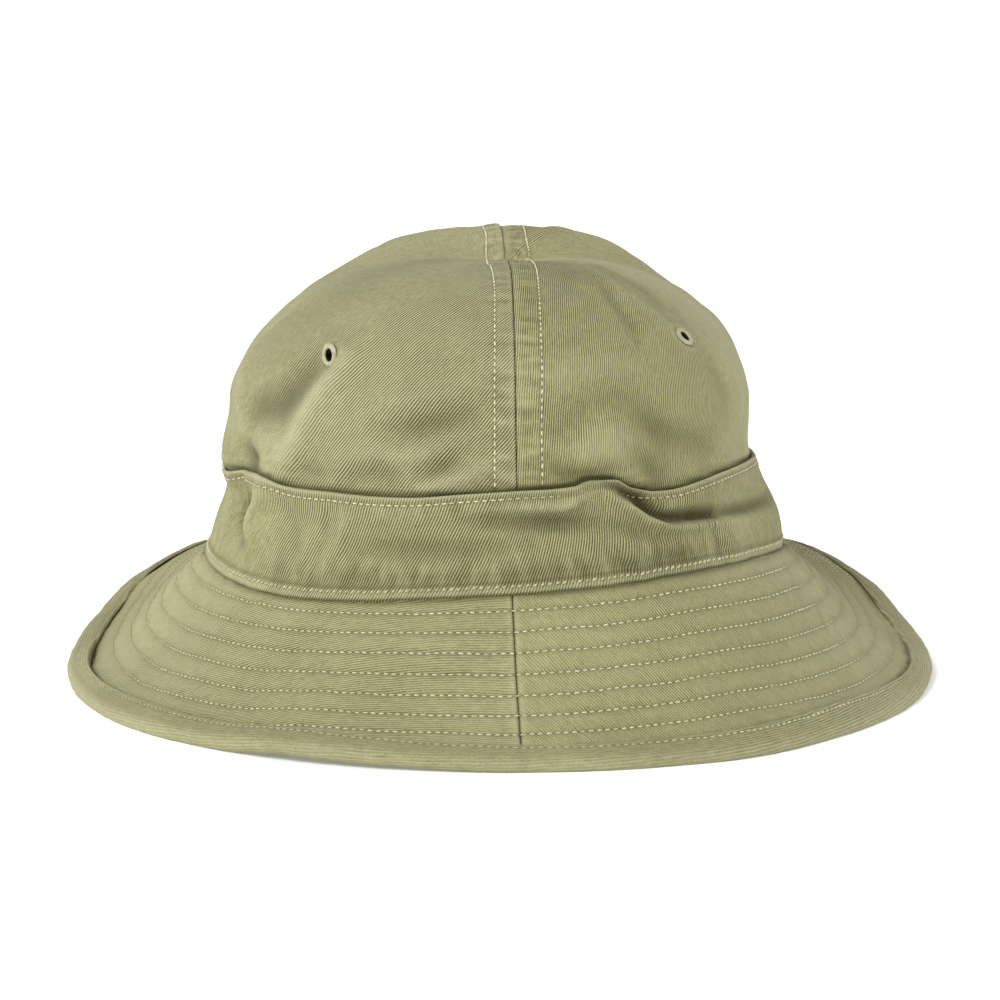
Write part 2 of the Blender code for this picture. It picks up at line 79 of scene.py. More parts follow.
# riseFront riseSide riseBack left right front back aside ahead, from foot to crossing
crownLevels = np.array([
    [0.000, 0.000, 0.000, 1.030, 0.956, 1.000, 1.000, 0.000, 0.000],
    [0.115, 0.115, 0.115, 0.990, 0.940, 0.990, 0.990, 0.004, 0.000],
    [0.230, 0.230, 0.230, 0.955, 0.885, 0.970, 0.975, 0.008, 0.000],
    [0.345, 0.345, 0.350, 0.985, 0.842, 0.955, 0.965, 0.010, 0.000],
    [0.460, 0.460, 0.467, 0.962, 0.846, 0.940, 0.960, 0.010, 0.000],
    [0.572, 0.572, 0.584, 0.942, 0.838, 0.925, 0.950, 0.010, 0.000],
    [0.676, 0.678, 0.700, 0.890, 0.795, 0.890, 0.925, 0.012, 0.000],
    [0.764, 0.770, 0.812, 0.815, 0.736, 0.840, 0.885, 0.014, 0.000],
    [0.832, 0.836, 0.908, 0.742, 0.666, 0.775, 0.820, 0.016, 0.000],
    [0.886, 0.892, 0.982, 0.670, 0.588, 0.700, 0.735, 0.018, 0.000],
    [0.928, 0.934, 1.038, 0.578, 0.504, 0.610, 0.630, 0.020, 0.005],
    [0.959, 0.965, 1.070, 0.470, 0.408, 0.515, 0.515, 0.022, 0.012],
    [0.978, 0.983, 1.083, 0.345, 0.306, 0.415, 0.390, 0.024, 0.025],
    [0.988, 0.990, 1.075, 0.215, 0.205, 0.315, 0.255, 0.024, 0.045],
    [0.988, 0.988, 1.040, 0.092, 0.108, 0.220, 0.090, 0.024, 0.075],
    [0.983, 0.983, 0.983, -0.024, 0.024, 0.120, -0.120, 0.024, 0.120],
])
topLevel = len(crownLevels) - 1

# azimuth, then seam edge width hollow band
brimSections = np.array([
    [-180, 0.98, 0.00, 1.000, 0.03, 1.00],
    [-165, 0.97, 0.12, 0.980, 0.03, 1.00],
    [-150, 0.96, 0.36, 0.960, 0.01, 1.00],
    [-134, 0.95, 0.48, 0.945, -0.02, 0.98],
    [-120, 0.94, 0.34, 0.935, -0.01, 0.94],
    [-106, 0.94, 0.15, 0.930, 0.04, 0.92],
    [-90, 0.94, 0.05, 0.925, 0.07, 0.92],
    [-64, 0.93, 0.00, 0.940, 0.07, 1.10],
    [-50, 0.93, 0.00, 0.960, 0.06, 1.01],
    [-36, 0.94, 0.01, 0.975, 0.06, 1.00],
    [-24, 0.95, 0.06, 0.990, 0.05, 0.99],
    [0, 0.99, 0.01, 1.010, 0.05, 0.98],
    [12, 1.01, 0.00, 1.025, 0.05, 0.96],
    [20, 1.03, 0.00, 1.040, 0.05, 1.03],
    [26, 1.04, 0.00, 1.055, 0.05, 0.95],
    [32, 1.06, 0.00, 1.060, 0.05, 0.85],
    [45, 1.07, 0.00, 1.035, 0.06, 0.88],
    [65, 1.05, 0.00, 1.020, 0.07, 0.94],
    [90, 0.98, 0.05, 0.990, 0.07, 0.98],
    [106, 0.96, 0.14, 0.985, 0.04, 1.02],
    [120, 0.95, 0.33, 0.985, -0.01, 1.02],
    [134, 0.95, 0.47, 0.985, -0.02, 1.00],
    [150, 0.96, 0.36, 0.985, 0.01, 1.00],
    [165, 0.97, 0.12, 0.995, 0.03, 1.00],
])

# azimuth up lean length width depth sharp: up is the share of the way from seam to
# crossing, lean is in degrees, the rest are shares of crownHeight. sharp is 1 for a soft
# fold and near 0 for a creased one. The first rows are the solids' own folds.
foldTable = np.array([
    [-55, 0.13, 10, 0.20, 0.080, 0.030, 1.0],
    [-66, 0.12, 8, 0.20, 0.080, -0.045, 1.0],
    [34, 0.15, 62, 0.16, 0.070, -0.030, 1.0],
    [58, 0.10, 86, 0.30, 0.070, -0.035, 1.0],
    [22, 0.21, 70, 0.14, 0.080, 0.020, 1.0],
    [-84, 0.24, 10, 0.12, 0.090, -0.030, 1.0],
    [-98, 0.38, 0, 0.30, 0.140, 0.020, 1.0],
    [-84, 0.47, 35, 0.16, 0.090, -0.025, 1.0],
    [96, 0.45, 20, 0.18, 0.100, 0.012, 1.0],
    [148, 0.30, 25, 0.25, 0.100, -0.025, 1.0],
    [-140, 0.34, -20, 0.25, 0.100, -0.025, 1.0],
])

seatLift = hat["crownCloth"] + hat["gap"]
bandLift = seatLift + hat["bandCloth"]
tipRadius = hat["brimCloth"] / 2 + hat["gap"] + hat["bindingCloth"]
leafWidth = hat["bindingWidth"] - tipRadius
headRadius = (hat["headWidth"] + hat["headDepth"]) / 4
crownClimb = hat["crownHeight"] * hat["crownLength"]


def unit(vectors):
    # brought to a length of one
    return vectors / np.maximum(np.linalg.norm(vectors, axis=-1, keepdims=True), 1e-12)


def bump(distance, width):
    # exp(-(distance / width)^2)
    return np.exp(-(distance / width) ** 2)


def spot(azimuth, place, width):
    # a bump round the hat, with its place and width in degrees
    return bump(azimuth - math.radians(place), math.radians(width))


def bumps(rows, **ways):
    # the sum of much * bump(way - place, width) over rows of way, much, place and width,
    # the last two in mm
    return sum(much * bump(ways[way] - place * mm, width * mm) for way, much, place, width in rows)


def spots(azimuth, rows):
    # the sum of much * spot(place, width) over rows of much, place and width
    return sum(much * spot(azimuth, place, width) for much, place, width in rows)


def ramp(value, start, end):
    # straight from 0 at the start to 1 at the end, which may be the smaller of the two
    return np.clip((value - start) / (end - start), 0, 1)


def smooth(share):
    # 3t^2 - 2t^3
    return share * share * (3 - 2 * share)


def inDegrees(azimuth):
    # -180 to 180, with the front at 0
    return (np.degrees(azimuth) + 180.0) % 360.0 - 180.0


def turnFrom(azimuth, place):
    # the shorter way round from a place given in degrees
    return (azimuth - math.radians(place) + math.pi) % tau - math.pi


def turnedAway(turn, start, end, last=140, gone=120):
    # 1 on both sides of the hat: up from start to end, and down from gone to last
    turn = np.abs(turn)
    return ramp(turn, start, end) * ramp(turn, last, gone)


def curveThrough(places, values, at):
    # a cubic through each pair of neighbours, its slope at a place being the chord's
    # between the places before and after it
    slopes = np.empty_like(values)
    slopes[1:-1] = (values[2:] - values[:-2]) / (places[2:] - places[:-2])[:, None]
    slopes[0] = (values[1] - values[0]) / (places[1] - places[0])
    slopes[-1] = (values[-1] - values[-2]) / (places[-1] - places[-2])
    low = np.clip(np.searchsorted(places, at, side="right") - 1, 0, len(places) - 2)
    span = (places[low + 1] - places[low])[..., None]
    t = (at - places[low])[..., None] / span
    near = (1 + 2 * t) * (1 - t) ** 2 * values[low] + t * (1 - t) ** 2 * span * slopes[low]
    far = t * t * (3 - 2 * t) * values[low + 1] - t * t * (1 - t) * span * slopes[low + 1]
    return near + far


def brimColumns(azimuth):
    # the brim's table closed round the hat, as seam, edge, width, hollow and band
    rows = np.vstack([brimSections[-3:], brimSections, brimSections[:3]])
    places = rows[:, 0].copy()
    places[:3] -= 360.0
    places[-3:] += 360.0
    return np.moveaxis(curveThrough(places, rows[:, 1:], inDegrees(azimuth)), -1, 0)


def seamSink(azimuth):
    # a bump round sinkPlace, of one width to its left and another to its right
    turn = inDegrees(azimuth) - hat["sinkPlace"]
    return hat["seamSink"] * bump(turn, np.where(turn < 0, *hat["sinkWidth"]))


def crownBase(azimuth, level):
    # each level is four quarter ellipses; its height goes from the end's rise to the side's
    # with the sixth power of the sine
    rows = curveThrough(np.arange(topLevel + 1.0), crownLevels, level)
    front, side, back, left, right, ahead, behind, aside, forward = np.moveaxis(rows, -1, 0)
    halfWidth, halfDepth = hat["headWidth"] / 2, hat["headDepth"] / 2
    across, along = np.sin(azimuth), np.cos(azimuth)
    aside, forward = halfWidth * aside, halfDepth * forward
    wide = np.where(across > 0, halfWidth * right - aside, halfWidth * left + aside)
    deep = np.where(along > 0, halfDepth * ahead - forward, halfDepth * behind + forward)
    end = np.where(along > 0, front, back)
    rise = end + (side - end) * across ** 6
    sag = hat["seamHeight"] * (brimColumns(azimuth)[0] - 1) * np.maximum(1 - rise, 0)
    sag = sag - seamSink(azimuth) * ramp(rise, 0.3, 0)
    foot = hat["seamHeight"] + hat["brimCloth"] / 2 + hat["gap"]
    height = foot + sag + hat["crownHeight"] * rise
    return np.stack([aside + wide * across, -forward - deep * along, height], -1)


def crownNormal(azimuth, level):
    # across the surface's two slopes, level at the foot and upright at the crossing
    step = 0.02
    low = np.maximum(level - step, 0)
    high = np.minimum(level + step, topLevel - step)
    around = crownBase(azimuth + step, level) - crownBase(azimuth - step, level)
    upward = crownBase(azimuth, high) - crownBase(azimuth, low)
    outward = unit(np.cross(around, upward))
    outward[..., 2] *= np.minimum(level, 1)
    upright = np.maximum(level - topLevel + 1, 0)[..., None]
    return unit(outward * (1 - upright) + np.array([0, 0, 1.0]) * upright)


def foldDepth(azimuth, level):
    # ridges and dents along short lines: exp(-along^2 - across^(2 sharp)) each
    total = np.zeros(np.broadcast(azimuth, level).shape)
    size = hat["crownHeight"]
    for place, up, lean, length, width, depth, sharp in foldTable:
        beside = turnFrom(azimuth, place) * headRadius
        above = (level / topLevel - up) * crownClimb
        c, s = math.cos(math.radians(lean)), math.sin(math.radians(lean))
        along = (beside * s + above * c) / (length * size)
        across = (beside * c - above * s) / (width * size)
        total += depth * size * np.exp(-along ** 2 - (across ** 2) ** sharp)
    return total * np.minimum(level, 1)


# Folds that the solids are too coarse for, each with its width and depth in mm and the
# points that it follows, as (azimuth in degrees, up)
fineFolds = [
    (2.0, 2.2, [(-6, .149), (6, .149), (12, .15), (17, .172)]),
    (1.7, 2.6, [(20, .178), (23, .155), (27, .125), (32, .095), (37, .084), (48, .08), (60, .07)]),
    (2.1, -4.8, [(21, .178), (28, .15), (31.5, .122), (35, .103), (42, .099), (49, .098)]),
    (1.9, -2.6, [(42, .099), (54, .097), (66, .096), (76, .096), (86, .097)]),
    (2.2, -1.5, [(18, .11), (24, .098), (30, .076), (36, .07)]),
    (2.6, -2.6, [(-8, .134), (4, .125), (12, .119), (17, .115)]),
    (2.6, 2.2, [(-51, .19), (-54, .15), (-57, .105), (-56, .075)]),
    (2.2, -3.6, [(-57, .158), (-65, .13), (-68, .1), (-64, .076), (-58, .062)]),
    (2.6, 1.4, [(-71, .17), (-73, .12), (-73, .07)]),
    (3.4, 0.8, [(-44, .157), (-36, .152), (-20, .147), (-7, .147)]),
    (3.2, -1.6, [(-30, .08), (-20, .084), (-8, .078), (4, .086)]),
    (2.2, -0.8, [(-34, .164), (-36, .124), (-37, .05)]),
    (2.0, 0.8, [(-31, .164), (-32, .117), (-33, .052)]),
    (2.6, -0.7, [(-45, .13), (-43, .09), (-42, .047)]),
    (3.0, -1.6, [(118, .16), (130, .11), (150, .09)]),
    (3.0, 1.4, [(112, .12), (126, .08), (146, .06)]),
    (3.2, -1.6, [(-112, .07), (-128, .1), (-140, .16)]),
    (3.0, 2.2, [(-77, .42), (-72, .36), (-67, .29), (-65, .23)]),
    (6.0, -1.2, [(-58, .335), (-62, .3), (-66, .285)]),
    (7.0, -2.4, [(-45, .42), (-48, .361), (-53, .325), (-61, .3)]),
    (2.8, -3.3, [(-67, .231), (-61, .223), (-55, .214)]),
    (4.6, 2.8, [(-37, .43), (-40, .351), (-45, .264), (-48, .195)]),
    (4.5, 1.6, [(-50, .255), (-55, .262), (-60, .266)]),
    (5.0, -2.8, [(-4, .345), (-11, .316), (-17, .3), (-24, .296)]),
    (5.0, 1.6, [(-10, .285), (-17, .255), (-24, .238), (-32, .228)]),
    (8.0, 1.0, [(8, .385), (-6, .36), (-20, .325), (-34, .29)]),
    (3.0, 1.8, [(-18, .195), (-10, .205), (-1, .24)]),
    (3.0, -2.2, [(-16, .209), (-13, .224), (-9, .24)]),
    (3.2, -2.2, [(-32, .204), (-25, .221), (-21, .21)]),
    (2.8, -1.4, [(-44, .212), (-40, .216), (-36, .206)]),
    (5.5, -1.5, [(9, .285), (14, .305), (18, .333), (23, .35), (28, .336), (33, .296), (37, .256)]),
    (5.0, 1.5, [(16, .268), (22, .278), (28, .268), (33, .245)]),
    (3.0, -2.2, [(10, .237), (12, .214), (18, .203), (24, .208)]),
    (9.0, 1.0, [(6, .4), (18, .4), (30, .385)]),
    (4.5, -1.4, [(27, .285), (40, .256), (54, .222)]),
    (4.2, -1.7, [(28, .23), (32, .208), (38, .175)]),
    (4.5, -1.2, [(42, .72), (36, .6), (36, .51), (34, .44)]),
    (5.0, 0.9, [(46, .6), (47, .5), (50, .42)]),
    (4.5, 1.2, [(12, .25), (22, .232), (30, .205)]),
    (6.0, 0.9, [(84, .8), (48, .734), (42, .632), (44, .54)]),
    (6.0, -1.0, [(66, .76), (57, .66), (56, .56)]),
    (5.0, -1.0, [(58, .4), (60, .341), (62, .26)]),
    (4.0, 0.9, [(66, .42), (69, .341), (69, .26)]),
    (6.0, -1.8, [(120, .24), (132, .32), (140, .42)]),
    (6.0, -1.8, [(-118, .42), (-128, .33), (-150, .26)]),
    (5.0, 1.2, [(150, .3), (165, .24), (178, .2)]),
    (4.0, -1.2, [(-178, .3), (-160, .24), (-150, .19)]),
]


def lattice(across, along, cell, seed):
    # smooth noise: random heights on a square lattice, blended with 3t^2 - 2t^3
    table = np.random.default_rng(seed).uniform(-1, 1, (64, 64))
    x, y = np.broadcast_arrays(across / cell, along / cell)
    left, low = np.floor(x).astype(int), np.floor(y).astype(int)
    s, t = smooth(x - left), smooth(y - low)
    near = table[left % 64, low % 64] * (1 - s) + table[(left + 1) % 64, low % 64] * s
    far = table[left % 64, (low + 1) % 64] * (1 - s) + table[(left + 1) % 64, (low + 1) % 64] * s
    return near * (1 - t) + far * t


def uneven(across, along, rows):
    # the sum of noises, over rows of height and cell in mm and a seed
    return sum(height * mm * lattice(across, along, cell * mm, seed) for height, cell, seed in rows)


def puckers(look, seed, across, along, distance):
    # height * noise * bump(distance - place, width); look is height, cell, place and width
    # in mm
    height, cell, place, width = (part * mm for part in look)
    return height * lattice(across, along, cell, seed) * bump(distance - place, width)


def foldField(azimuth, up):
    # the deepest share of each fold: exp(-(distance to its path)^2), fading to both ends
    azimuth, up = np.broadcast_arrays(azimuth, up)
    total = np.zeros(azimuth.shape)
    for width, depth, path in fineFolds:
        t = np.linspace(0, len(path) - 1, 8 * len(path))
        along = curveThrough(np.arange(len(path), dtype=float), np.array(path, float), t)
        fade = np.sin(np.pi * (0.08 + 0.84 * t / t[-1])) ** 0.7
        best = np.zeros(azimuth.shape)
        for (place, rise), share in zip(along, fade):
            away = (turnFrom(azimuth, place) * headRadius) ** 2 + ((up - rise) * crownClimb) ** 2
            best = np.maximum(best, share * np.exp(-away / (width * mm) ** 2))
        total += depth * mm * best
    return total


def crownPoint(azimuth, level, lift):
    # the plain surface, moved along its normal by the lift and all the folds
    azimuth, level = np.broadcast_arrays(azimuth, level)
    fine = foldField(azimuth, level / topLevel) * np.minimum(level, 1)
    away = lift + foldDepth(azimuth, level) + fine
    return crownBase(azimuth, level) + away[..., None] * crownNormal(azimuth, level)


def levelAt(height):
    # the level at a height above the crown's foot
    return np.interp(height, crownLevels[:, 1] * hat["crownHeight"], np.arange(topLevel + 1.0))


def heightOf(level):
    # the height above the crown's foot at a level
    return np.interp(level, np.arange(topLevel + 1.0), crownLevels[:, 1]) * hat["crownHeight"]


def brimSlope(azimuth):
    # the slope's length from the seam to where the rim is rounded
    return hat["brimWidth"] * brimColumns(azimuth)[2] - tipRadius


def brimPoint(azimuth, share):
    # straight down from the seam to the rim, dipped below that by a skewed half sine;
    # a share below zero is the level strip under the band
    azimuth, share = np.broadcast_arrays(azimuth, share)
    seamShare, edge, width, hollow = brimColumns(azimuth)[:4]
    foot = np.zeros(azimuth.shape)
    outward = crownNormal(azimuth, foot)
    seam = crownBase(azimuth, foot) + bandLift * outward
    seam[..., 2] = hat["seamHeight"] * seamShare
    slope = hat["brimWidth"] * width - tipRadius
    drop = seam[..., 2] - (tipRadius - hat["rimPress"]) - hat["seamHeight"] * edge
    reach = np.sqrt(slope ** 2 - drop ** 2)
    sink = seamSink(azimuth)
    seam[..., 2] -= sink
    drop = drop - sink
    down = np.maximum(share, 0)
    dip = hat["brimWidth"] * hollow * np.sin(np.pi * down ** hat["hollowBias"])
    away = np.where(share > 0, share * reach - dip * drop / slope, share * slope)
    fall = np.where(share > 0, share * drop + dip * reach / slope, 0)
    point = seam + away[..., None] * outward
    point[..., 2] -= fall
    return point


def brimNormal(azimuth, share):
    # across the surface's two slopes
    step = 0.01
    around = brimPoint(azimuth + step, share) - brimPoint(azimuth - step, share)
    downward = brimPoint(azimuth, share + step) - brimPoint(azimuth, share - step)
    return unit(np.cross(downward, around))


# The solids are centred on their own box, so the same shift is used here
rimRound = brimPoint(np.linspace(-math.pi, math.pi, 721), np.ones(721))
rimLow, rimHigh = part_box("rim_binding")
hatShift = np.array([
    (rimLow[0] + rimHigh[0]) / 2 - (rimRound[:, 0].min() + rimRound[:, 0].max()) / 2,
    (rimLow[1] + rimHigh[1]) / 2 - (rimRound[:, 1].min() + rimRound[:, 1].max()) / 2, 0.0])
print("shape read, shift in mm", (hatShift / mm).round(2))


def shellMesh(name, outer, inner, cloth, closed=False, keep=None, masks=None):
    # two grids of points, by azimuth then upward, joined into one closed wall; keep says
    # which cells are there, and a wall is raised along every edge where they stop; cloth is
    # the flat pattern, and masks are values for the material
    columns, rows = outer.shape[:2]
    cells = columns if closed else columns - 1
    keep = np.ones((cells, rows - 1), bool) if keep is None else keep
    padded = np.zeros((cells + 2, rows + 1), bool)
    padded[1:-1, 1:-1] = keep
    if closed:
        padded[0], padded[-1] = padded[-2], padded[1]

    def corners(i, j, side):
        # vertex and cloth numbers of grid points; cloth numbers aren't wrapped round
        vertex = side * columns * rows + (i % columns) * rows + j
        return np.stack([vertex, i * rows + j], -1)

    i, j = np.nonzero(keep)
    quads = [np.stack([corners(i, j, 0), corners(i + 1, j, 0),
                       corners(i + 1, j + 1, 0), corners(i, j + 1, 0)], 1),
             np.stack([corners(i, j, 1), corners(i, j + 1, 1),
                       corners(i + 1, j + 1, 1), corners(i + 1, j, 1)], 1)]
    for shift, ends in (((0, -1), ((0, 0), (1, 0))), ((0, 1), ((1, 1), (0, 1))),
                        ((-1, 0), ((0, 1), (0, 0))), ((1, 0), ((1, 0), (1, 1)))):
        beyond = padded[1 + shift[0]:cells + 1 + shift[0], 1 + shift[1]:rows + shift[1]]
        i, j = np.nonzero(keep & ~beyond)
        (a, b), (c, d) = ends
        quads.append(np.stack([corners(i + c, j + d, 0), corners(i + a, j + b, 0),
                               corners(i + a, j + b, 1), corners(i + c, j + d, 1)], 1))
    faces = np.concatenate(quads)
    used, order = np.unique(faces[..., 0], return_inverse=True)
    points = np.concatenate([outer.reshape(-1, 3), inner.reshape(-1, 3)])[used] + hatShift
    piece = newPiece(name, points, order.reshape(-1, 4))
    uv = cloth.reshape(-1, 2)[faces[..., 1].ravel()]
    piece.data.uv_layers.new(name="cloth").data.foreach_set("uv", uv.ravel())
    for label, values in (masks or {}).items():
        setMask(piece, label, np.concatenate([values.ravel(), values.ravel()])[used])
    return piece


def setMask(piece, label, values):
    # one value for each vertex, for the material to read
    piece.data.attributes.new(label, "FLOAT", "POINT").data.foreach_set("value", values)


def newPiece(name, points, faces):
    # a smooth-shaded mesh object from arrays of points and equal faces
    mesh = bpy.data.meshes.new(name)
    mesh.vertices.add(len(points))
    mesh.vertices.foreach_set("co", np.asarray(points, float).ravel())
    mesh.loops.add(faces.size)
    mesh.loops.foreach_set("vertex_index", faces.astype(np.int32).ravel())
    mesh.polygons.add(len(faces))
    mesh.polygons.foreach_set("loop_start", np.arange(0, faces.size, faces.shape[1], dtype=np.int32))
    mesh.update(calc_edges=True)
    mesh.validate()
    mesh.shade_smooth()
    piece = bpy.data.objects.new(name, mesh)
    bpy.context.scene.collection.objects.link(piece)
    return piece


def packed(length, step, fine, reach):
    # shares of a length, close together at both ends and a step apart beyond reach
    places = [0.0]
    while places[-1] < length / 2:
        places.append(places[-1] + fine + (step - fine) * min(places[-1] / reach, 1))
    half = np.array(places) * (length / 2 / places[-1])
    return np.concatenate([half, length - half[-2::-1]]) / length


def rounded(distance, radius):
    # share of the full thickness at a distance from an edge, as on a quarter circle
    inside = np.clip(1 - distance / radius, 0, 1)
    return np.maximum(np.sqrt(1 - inside ** 2), 0.12)


# An eyelet is given by its name, its azimuth and level on the crown, the way that its axis
# faces and rises in degrees, and its size
gores = {
    "crown_front_left": {
        "from": "left", "to": "front", "seed": 3,
        "weave": {"turn": 49, "wale": 0.76, "contrast": 1.8},
        "eyelet": ("eyelet_front_left", -42.1, 6.5, -53, 2, 0.97)},
    "crown_front_right": {
        "from": "front", "to": "right", "seed": 5,
        "weave": {"turn": 86, "wale": 0.75, "contrast": 1.4, "tint": 0.95, "warm": 3.0},
        "eyelet": ("eyelet_front_right", 51.2, 6.85, 56, 42, 0.86)},
    "crown_back_right": {
        "from": "right", "to": "back", "seed": 7,
        "weave": {"turn": 50, "wale": 0.76, "contrast": 1.5, "tint": 0.94, "warm": 2.6},
        "eyelet": ("eyelet_back_right", 135.0, 7.0, 135, 30, 0.95)},
    "crown_back_left": {
        "from": "back", "to": "left", "seed": 9,
        "weave": {"turn": 86, "wale": 0.76, "contrast": 1.5, "tint": 0.98},
        "eyelet": ("eyelet_back_left", -135.0, 7.0, -135, 30, 0.95)},
}
crown = {
    "width": 140 * mm, "rows": 128,
    "columns": (1.15 * mm, 0.22 * mm, 13 * mm),    # apart in the middle, at a seam, and how far in
    "edgeRadius": 0.32 * mm,
    "stripRise": 0.30 * mm,      # the raised strip to each side of the front and back seams
    "stripFall": 1.4 * mm,       # how wide its edge is
    # dips and ridges: the line that they follow, height, distance from it and width, in mm
    "shape": (("seam", -0.30, 0, 0.30), ("strip", -0.30, 0, 0.8), ("side", -0.24, 0, 0.6),
              ("side", 0.25, 2.5, 2.2)),
    "overhang": (1.1 * mm, 13 * mm, 3.6 * mm),    # swell over the band: height, cell and width
    # height, cell, distance from the line and width in mm: above the band, and at the seams
    "gather": (0.35, 5.5, 2, 7), "pucker": (0.42, 2.7, 0, 4), "sidePucker": (0.294, 6, 0, 5),
    "slack": ((0.45, 21, 42), (0.18, 8, 43)),    # unevenness: height, cell in mm, seed
    "holeRadius": 2.7 * mm,      # of the hole for a full-size eyelet
    "eyeletSeat": 6.0 * mm,      # how far round an eyelet the cloth lies level with it
    "eyeletPull": 2.0 * mm,      # the most that it is drawn in or out for that
    "eyeletDip": (("eyelet", -0.30, 0, 4.4),),
    "spokes": (7, 1.3),          # small creases round an eyelet: how many, and the first's turn
    "spokeRise": (("eyelet", 0.10, 5.5, 2.2),),
    # seam to topstitch by level, in mm: at the front left, at the back left, on the right
    "strips": (([2, 10, 14.5], [6.1, 5.1, 6.4]), ([2, 9, 14.5], [6.3, 6.0, 5.1]),
               ([2, 8, 14.5], [6.8, 7.4, 7.4])),
    # paler lines, worn and with painted highlight, and lines of painted shade, as in shape; and places
    # of painted highlight as share, azimuth and width in degrees
    "fade": (("seam", 0.4, 1.0, 0.7), ("side", 0.3, 1.1, 1.0), ("eyelet", 0.5, 4.6, 0.8)),
    "highlightSpots": ((0.8, 75, 17.2),),
    "paintedShade": (("join", 0.75, 0, 0.20), ("strip", 0.45, 0, 0.5), ("band", 1.6, 0, 1.05)),
    # painted shade over the band's right buckle, and mottled painted shade above the band
    "buckleShade": (("band", 0.32, 0, 1.3),), "buckleShadeSpot": (20, 25.8),
    "aboveBandShade": (("band", 0.15, 1, 7),),
    # painted shade on the left side and over the top right, each with the levels where it begins
    "shadedPatches": ((0.33, -61.9, 18.9, 4, 6), (0.33, 34.4, 34.4, 9, 11)),
}


def seamTurn(which, level):
    # azimuth of a seam at each level; the front and back ones lean, and the back one
    # starts beside the crossing
    level = np.asarray(level, float)
    if which in ("left", "right"):
        return np.full(level.shape, math.radians(hat["seams"][which]))
    middle = crownBase(np.zeros(level.shape), level)[..., 0]
    wide = middle - crownBase(np.full(level.shape, -math.pi / 2), level)[..., 0]
    if which == "front":
        right, rise = hat["frontLean"]
        away = right + rise * (level - 3.5)
        return math.radians(hat["seams"]["front"]) + away / np.maximum(wide, 8 * mm)
    lean = hat["backJog"] / np.maximum(wide, 1e-6) + math.sin(math.radians(hat["backLean"]))
    return math.pi + np.arcsin(np.clip(lean, 0, 1))


# azimuth, and the height of the band's top edge as a share of bandHeight
bandEdges = np.array([
    [-180, 1.000], [-150, 1.000], [-120, 0.950], [-95, 0.930], [-77.5, 0.961], [-69, 0.986],
    [-65, 1.010], [-58, 1.050], [-53, 1.058], [-50.5, 1.040], [-48.5, 1.010], [-46.5, 0.985],
    [-43, 0.968], [-35.5, 0.960], [-25.5, 0.940], [-16.5, 0.936], [-9, 0.961], [-3.5, 0.975],
    [2.5, 0.986], [9, 0.986], [14.5, 1.000], [16, 1.024], [17.5, 1.038], [20, 1.032], [23.5, 1.015],
    [25, 0.975], [27, 0.922], [32, 0.854], [35, 0.840], [39.5, 0.832], [47, 0.868],
    [55.5, 0.908], [73, 0.950], [90, 0.970], [120, 1.010], [150, 1.000], [180, 1.000],
])


def bandTop(azimuth):
    # the height of the band's top edge above its foot
    shares = curveThrough(bandEdges[:, 0], bandEdges[:, 1:], inDegrees(azimuth))[..., 0]
    return hat["bandHeight"] * shares


def seamPlace(which, level):
    # where a seam lies at a level
    return crownBase(seamTurn(which, level), np.asarray(level, float))


def stripWidth(side, front, level):
    # centre seam to its topstitch
    ahead, behind, right = (np.interp(level, *table) for table in crown["strips"])
    return np.where(np.asarray(side) < 0, np.where(front, ahead, behind), right) * mm


def crownRelief(azimuth, level, seed):
    # seams, strips, puckers, swell over the band, slow slack; gives with it the ways to the
    # middle seam, the side seam and the band's edge, and the strip's width
    base = crownBase(azimuth, level)
    front = np.cos(azimuth) > 0
    fromSeam = base[..., 0] - np.where(front, seamPlace("front", level)[..., 0],
                                       seamPlace("back", level)[..., 0])
    middle, right = np.abs(fromSeam), np.sign(fromSeam)
    side = np.abs(base[..., 1] - np.where(np.sin(azimuth) > 0, seamPlace("right", level)[..., 1],
                                          seamPlace("left", level)[..., 1]))
    strip = stripWidth(right, front, level)
    relief = crown["stripRise"] * (1 - smooth(ramp(middle, strip, strip + crown["stripFall"])))
    relief += mm * bumps(crown["shape"], seam=middle, strip=middle - strip, side=side)

    climb, around = level / topLevel * crownClimb, azimuth * headRadius
    relief += puckers(crown["pucker"], seed, climb + 0.3 * middle,
                      right * 9 * mm + 0.45 * middle, middle - 0.6 * strip)
    relief += puckers(crown["sidePucker"], seed + 1, climb, 0, side)

    above = heightOf(level) - bandTop(azimuth)
    height, cell, width = crown["overhang"]
    swell = np.clip(0.45 + 0.55 * lattice(around, 0, cell, 40), 0.1, 1)
    relief += height * swell * bump(above - width, width)
    relief += puckers(crown["gather"], 41, around, 0, above)
    relief += uneven(around, climb, crown["slack"])
    return relief * ramp(above, 0, 1.2 * mm), middle, side, above, strip


def eyeletFrame(azimuth, level, facing, upward):
    # the eyelet's middle on the cloth, its outward axis and a direction round the hat
    place, climb = np.array([math.radians(azimuth)]), np.array([float(level)])
    centre = crownPoint(place, climb, hat["crownCloth"] + crownRelief(place, climb, 0)[0])[0]
    facing, upward = math.radians(facing), math.radians(upward)
    axis = np.array([math.sin(facing) * math.cos(upward), -math.cos(facing) * math.cos(upward),
                     math.sin(upward)])
    return centre, axis, unit(np.cross(np.array([0, 0, 1.0]), axis))


def calmShare(azimuth, up):
    # where the weave shows less: the smooth upper left of the crown, a worn patch below it
    # and both sides
    turn = inDegrees(azimuth)
    upper = ramp(up - 0.004 * (turn + 60), 0.38, 0.48) * ramp(turn, -20, -35)
    sides = ramp(np.abs(turn) - 4 * (turn > 0), 52, 59) * ramp(np.abs(turn), 140, 120)
    patch = bump(turn + 51, 6) * bump(up - 0.235, 0.055)
    return np.maximum(np.maximum(0.85 * upper, 0.95 * sides), 0.8 * patch)


